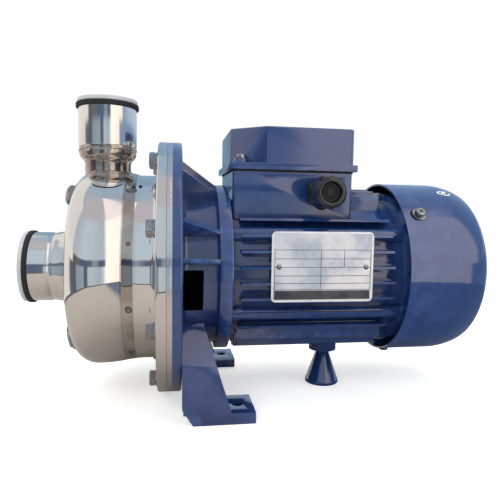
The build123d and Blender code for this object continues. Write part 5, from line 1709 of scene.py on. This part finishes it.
@dataclass
class Nameplate:
    """The plate on the fins: raised border, table rules, black foot bar and two rivets."""

    x: float = 72.7
    front: float = reach_of("nameplate", "y", End.LOW)
    rise: float = 8.2
    length: float = 91.0
    height: float = 61.0
    rivets: float = 78.0
    border: float = 1.6
    rule: float = 0.45
    rows: tuple[float, ...] = (14.5, 6.8, -0.6, -8.0, -14.6, -20.0)
    columns: tuple[tuple[float, float, float], ...] = ((-2.0, -20.0, 14.5), (19.0, 0.0, 14.5))

    def place(self) -> Matrix:
        """The plate's own frame: local X along its length, Y up, Z out of its face."""
        origin = Matrix.Translation(Vector((self.x, self.front, SHAFT_HEIGHT + self.rise)) * MM)
        return origin @ Matrix.Rotation(math.pi / 2, 4, "X")

    def strip(self, shape: Shape, x0: float, y0: float, x1: float, y1: float, depth: float) -> None:
        """Add one flat strip to a piece, in the plate's frame."""
        shape.block((x0, y0, -0.05), (x1, y1, depth))

    def build(self) -> None:
        """Build the border, the rules and the bar, and dressed rivets."""
        half_x, half_y, wide = self.length / 2, self.height / 2, self.border
        border = Shape("nameplate_border")
        border.block((-half_x, -half_y, -0.05), (half_x, half_y, 0.35))
        upright = [e for e in border.mesh.edges if abs(e.verts[0].co.z - e.verts[1].co.z) > 1e-6]
        bmesh.ops.bevel(border.mesh, geom=upright, offset=4.0 * MM, offset_type="OFFSET", segments=6,
                        profile=0.5, affect="EDGES", clamp_overlap=True, material=-1)
        inner = Shape("inner").block(
            (-half_x + wide, -half_y + wide, -1.0), (half_x - wide, half_y - wide, 1.0)
        )
        border.carve(inner).place(self.place()).finish(PLATE_EDGE, Body.PUMP, (), 35.0)
        ink = Shape("nameplate_rules")
        left, right = -half_x + wide + 1.0, half_x - wide - 1.0
        for y in self.rows:
            self.strip(ink, left, y, right, y + self.rule, 0.06)
        top, foot = self.rows[0] + 0.4, self.rows[-1]
        for x, y0, y1 in (*self.columns, (left, foot, top), (right, foot, top)):
            self.strip(ink, x, y0, x + self.rule, y1, 0.06)
        self.strip(ink, left, -half_y + wide + 0.6, right, foot - 0.6, 0.08)
        ink.place(self.place()).finish(PLATE_INK, Body.PUMP, (), 35.0)
        rivets = Shape("dressed_nameplate_rivets")
        for side in (-1, 1):
            rivet = Shape("rivet")
            rivet.pen(-3.0, 0.0).line(-3.0, 1.2).line(0.0, 1.2).line(0.0, 2.4).arc(1.0, 0.0, (0, -1), 6)
            shift = Matrix.Translation((side * self.rivets / 2 * MM, 0, 0))
            rivets.join(rivet.turn(28).place(self.place() @ shift))
        rivets.finish(PLATED, Body.PUMP, ("nameplate_rivets",), 50.0)


@dataclass
class ConeFoot:
    """The turned cone foot under the motor."""

    x: float = 99.0
    top: float = 35.0
    base: float = 17.0
    tip: float = 6.0
    lip: float = 3.0
    recess: float = 5.1
    depth: float = 8.0

    def build(self) -> None:
        """Build the cone with its rounded lip and the recess for its screw."""
        cone = Shape("dressed_cone_foot")
        pen = cone.pen(self.top, 3.1)
        pen.line(self.top, self.tip - 0.4).line(self.top - 0.6, self.tip)
        pen.line(self.lip + 1.0, self.base - 0.8).arc(self.lip - 0.6, self.base, (-1, 0), 4)
        pen.line(0.8, self.base).arc(0.0, self.base - 0.8, (0, -1), 4)
        pen.line(0.0, self.recess).line(self.depth, self.recess).line(self.depth, 3.1).close()
        cone.turn(72).place(upright_place(self.x)).finish(ENAMEL, Body.PUMP, ("cone_foot",), 40.0)


@dataclass
class Studio:
    """Camera, floor, world and lamps.

    The camera's place and turn were solved from the photograph's perspective. For reflections the world is
    a room painted by direction: four belts, one over the other, whose colours are given by azimuth in
    degrees, with 0 on the viewer's side and more to the right. For the camera it is plain white.
    """

    eye: tuple[float, float, float] = (-0.055, -0.4876, 0.179)
    up: tuple[float, float, float] = (-0.0031, 0.0842, 0.9964)
    forward: tuple[float, float, float] = (0.1531, 0.9847, -0.0827)
    lens: float = 35.35
    ambient: float = 0.66
    glow: float = 0.48
    floor: tuple[Colour, Colour] = ((0.86, 0.86, 0.86), (0.88, 0.88, 0.88))
    lamps: tuple[tuple[str, tuple[float, float, float], float, float], ...] = (
        ("key_lamp", (-0.9, -1.2, 1.3), 0.9, 13.0),
        ("fill_lamp", (1.3, -0.9, 0.8), 1.0, 6.0),
        ("top_lamp", (0.1, 0.3, 1.6), 1.3, 13.0),
    )
    lamp_aim: tuple[float, float, float] = (0.05, 0.0, 0.12)
    table_centre: tuple[float, float, float] = (0.10, 0.0, 0.0)
    table_reach: tuple[float, float] = (0.545, 0.565)
    table_end: tuple[float, float] = (0.585, 0.60)
    table: Colour = (0.46, 0.42, 0.39)
    table_far_side: Colour = (0.13, 0.16, 0.22)
    table_fade: tuple[float, float] = (0.0, 0.09)
    beyond: Colour = (0.10, 0.10, 0.13)
    eye_rise: tuple[float, float] = (0.08, 0.12)
    wall_rise: tuple[float, float] = (0.20, 0.25)
    ceiling_rise: tuple[float, float] = (0.82, 0.87)
    low_wall: Stops = (
        (-180.0, (0.16, 0.26, 0.37)), (-166.0, (0.20, 0.31, 0.42)), (-152.0, (0.95, 0.90, 0.84)),
        (-96.0, (0.88, 0.84, 0.80)), (-84.0, (0.15, 0.16, 0.20)), (-60.0, (0.12, 0.13, 0.17)),
        (-52.0, (0.32, 0.38, 0.45)), (-24.0, (0.36, 0.43, 0.50)), (-20.0, (0.10, 0.14, 0.20)),
        (-12.0, (0.11, 0.15, 0.21)), (-8.0, (0.56, 0.64, 0.70)), (9.0, (0.46, 0.56, 0.64)),
        (14.0, (0.62, 0.70, 0.78)), (18.0, (1.20, 1.16, 1.12)), (21.0, (1.40, 1.28, 1.16)),
        (48.0, (1.25, 1.16, 1.06)), (56.0, (0.26, 0.36, 0.52)), (110.0, (0.22, 0.36, 0.58)),
        (180.0, (0.30, 0.40, 0.50)),
    )
    eye_level: Stops = (
        (-180.0, (0.20, 0.32, 0.44)), (-164.0, (0.22, 0.33, 0.45)), (-152.0, (0.98, 0.93, 0.87)),
        (-76.0, (0.95, 0.90, 0.85)), (-70.0, (0.14, 0.13, 0.14)), (-40.0, (0.16, 0.16, 0.18)),
        (-31.0, (0.09, 0.13, 0.23)), (-8.0, (0.11, 0.15, 0.25)), (-3.0, (0.32, 0.36, 0.42)),
        (4.0, (0.26, 0.30, 0.36)), (8.0, (0.10, 0.13, 0.20)), (16.0, (0.12, 0.15, 0.22)),
        (20.0, (1.40, 1.28, 1.16)), (62.0, (1.30, 1.20, 1.10)), (70.0, (0.34, 0.44, 0.58)),
        (100.0, (0.50, 0.62, 0.78)), (150.0, (0.58, 0.69, 0.82)), (180.0, (0.36, 0.46, 0.58)),
    )
    upper_wall: Stops = (
        (-180.0, (0.30, 0.44, 0.62)), (-164.0, (0.30, 0.42, 0.56)), (-150.0, (0.90, 0.87, 0.83)),
        (-85.0, (0.88, 0.85, 0.83)), (-70.0, (0.52, 0.58, 0.64)), (-20.0, (0.60, 0.69, 0.78)),
        (14.0, (0.52, 0.60, 0.68)), (22.0, (1.40, 1.28, 1.20)), (64.0, (1.30, 1.20, 1.14)),
        (76.0, (0.30, 0.44, 0.64)), (180.0, (0.34, 0.48, 0.68)),
    )
    ceiling: Stops = (
        (-180.0, (0.40, 0.52, 0.68)), (-110.0, (0.50, 0.56, 0.66)), (-60.0, (0.58, 0.56, 0.60)),
        (14.0, (0.58, 0.55, 0.60)), (24.0, (1.15, 1.05, 1.05)), (66.0, (1.10, 1.02, 1.02)),
        (100.0, (0.44, 0.50, 0.62)), (180.0, (0.40, 0.52, 0.68)),
    )

    def build(self) -> None:
        """Set up the whole studio."""
        scene = bpy.context.scene
        scene.view_settings.view_transform = "Standard"
        self.build_camera(scene)
        self.build_world(scene)
        self.build_floor()
        self.build_lamps()

    def build_camera(self, scene: bpy.types.Scene) -> None:
        """Place the camera where the photograph's was.

        Args:
            scene: The scene that gets the camera.
        """
        data = bpy.data.cameras.new("photo_camera")
        data.sensor_width, data.lens = 36.0, self.lens
        data.clip_start, data.clip_end = 0.01, 50.0
        camera = bpy.data.objects.new("photo_camera", data)
        scene.collection.objects.link(camera)
        back = -Vector(self.forward)
        side = Vector(self.up).cross(back).normalized()
        top = back.cross(side).normalized()
        turn = Matrix((side, top, back.normalized())).transposed().to_4x4()
        camera.matrix_world = Matrix.Translation(self.eye) @ turn
        scene.camera = camera

    def band(self, wires: Wiring, share: Socket, stops: Stops) -> Socket:
        """One belt of the room: its colour by azimuth.

        Args:
            wires: The world's wiring.
            share: The azimuth as a share of the full turn.
            stops: The belt's colours, each with its azimuth in degrees.

        Returns:
            The colour's socket.
        """
        ramp = wires.add("ValToRGB")
        ramp.color_ramp.interpolation = "EASE"
        elements = ramp.color_ramp.elements
        for _ in stops[2:]:
            elements.new(0.5)
        for element, (azimuth, _) in zip(elements, stops):
            element.position = (azimuth + 180.0) / 360.0
        for element, (_, colour) in zip(elements, stops):
            element.color = (*colour, 1.0)
        wires.feed(ramp.inputs[0], share)
        return ramp.outputs[0]

    def room(self, wires: Wiring) -> Socket:
        """The colour of the room that polished surfaces show, by direction.

        Args:
            wires: The world's wiring.

        Returns:
            The colour: belts of the lower wall, eye level and the upper wall, and the ceiling.
        """
        split = wires.add("SeparateXYZ")
        wires.feed(split.inputs[0], wires.add("TexCoord").outputs["Generated"])
        facing = wires.math("MULTIPLY", split.outputs["Y"], -1.0)
        azimuth = wires.math("ARCTAN2", split.outputs["X"], facing)
        share = wires.math("MULTIPLY_ADD", azimuth, 0.5 / math.pi)
        wires.tree.nodes[-1].inputs[2].default_value = 0.5
        colour = self.band(wires, share, self.low_wall)
        for rise, stops in ((self.eye_rise, self.eye_level), (self.wall_rise, self.upper_wall),
                            (self.ceiling_rise, self.ceiling)):
            above = wires.ramp(split.outputs["Z"], *rise)
            colour = wires.mix(above, colour, self.band(wires, share, stops))
        return colour

    def build_world(self, scene: bpy.types.Scene) -> None:
        """White for the camera and through glass, the room for reflections, and soft fill for the rest.

        Args:
            scene: The scene that gets the world.
        """
        world = bpy.data.worlds.new("studio_world")
        world.use_nodes = True
        scene.world = world
        wires = Wiring(world.node_tree)
        path = wires.add("LightPath")
        seen = wires.math("MAXIMUM", path.outputs["Is Camera Ray"], path.outputs["Is Transmission Ray"])
        fill = wires.mix(path.outputs["Is Glossy Ray"], (self.ambient,) * 3, self.room(wires))
        colour = wires.mix(seen, fill, (1.0, 1.0, 1.0))
        light = wires.add("Background")
        wires.feed(light.inputs["Color"], colour)
        wires.feed(wires.add("OutputWorld").inputs["Surface"], light.outputs[0])

    def build_floor(self, reach: float = 4.0) -> None:
        """A plain pale floor that keeps the shadow; reflections show it as a grey table that ends.

        Args:
            reach: Half of the floor's width in metres.
        """
        shape = Shape("floor")
        bmesh.ops.create_grid(shape.mesh, x_segments=1, y_segments=1, size=reach)
        mesh = bpy.data.meshes.new("floor")
        shape.mesh.to_mesh(mesh)
        shape.mesh.free()
        floor = bpy.data.objects.new("floor", mesh)
        floor.location.z = -0.0002
        bpy.context.scene.collection.objects.link(floor)
        material = bpy.data.materials.new("pale_floor")
        material.use_nodes = True
        wires = Wiring(material.node_tree)
        path = wires.add("LightPath")
        place = wires.add("TexCoord").outputs["Object"]
        cloud = wires.ramp(wires.noise(place, 3.0), 0.3, 0.7)
        plain = wires.mix(cloud, *self.floor)
        matte = wires.add("BsdfDiffuse")
        offset = wires.add("VectorMath", operation="SUBTRACT")
        wires.feed(offset.inputs[0], place)
        offset.inputs[1].default_value = self.table_centre
        spread = wires.add("VectorMath", operation="LENGTH")
        wires.feed(spread.inputs[0], offset.outputs[0])
        split = wires.add("SeparateXYZ")
        wires.feed(split.inputs[0], place)
        top = wires.mix(wires.ramp(split.outputs["X"], *self.table_fade), self.table, self.table_far_side)
        table = wires.mix(wires.ramp(spread.outputs["Value"], *self.table_reach), top, self.beyond)
        wires.feed(matte.inputs["Color"], wires.mix(path.outputs["Is Glossy Ray"], plain, table))
        glow = wires.add("Emission")
        wires.feed(glow.inputs["Strength"], wires.math("MULTIPLY", path.outputs["Is Camera Ray"], self.glow))
        total = wires.add("AddShader")
        wires.feed(total.inputs[0], matte.outputs[0])
        wires.feed(total.inputs[1], glow.outputs[0])
        ended = wires.ramp(spread.outputs["Value"], *self.table_end)
        open_room = wires.add("MixShader")
        wires.feed(open_room.inputs[0], wires.math("MULTIPLY", ended, path.outputs["Is Glossy Ray"]))
        wires.feed(open_room.inputs[1], total.outputs[0])
        wires.feed(open_room.inputs[2], wires.add("BsdfTransparent").outputs[0])
        wires.feed(wires.add("OutputMaterial").inputs["Surface"], open_room.outputs[0])
        mesh.materials.append(material)

    def build_lamps(self) -> None:
        """Three large soft lamps: key from the upper left, fill from the right, and one overhead."""
        for name, place, size, power in self.lamps:
            data = bpy.data.lights.new(name, "AREA")
            data.shape, data.size, data.energy = "DISK", size, power
            lamp = bpy.data.objects.new(name, data)
            bpy.context.scene.collection.objects.link(lamp)
            lamp.visible_glossy = False
            aim = Vector(self.lamp_aim) - Vector(place)
            lamp.matrix_world = Matrix.Translation(place) @ aim.to_track_quat("-Z", "Y").to_matrix().to_4x4()


def main() -> None:
    """Build every sub-assembly in order, then the studio."""
    logging.basicConfig(level=logging.INFO, format="%(message)s")
    dress_nodes()
    casing = Casing()
    builders: list[Callable[[], None]] = [
        casing.build, casing.weld_neck, casing.weld_suction, casing.mark_valley, SuctionPort().build,
        DischargePort().build, FlangeJoint().build, Plugs().build, Bracket().build, Motor().build,
        LidScrews().build, Gland().build, Cowl().build, Nameplate().build, ConeFoot().build, Studio().build,
    ]
    for build in builders:
        build()
        LOG.info("built %s", build.__qualname__)


if __name__ == "__main__":
    main()
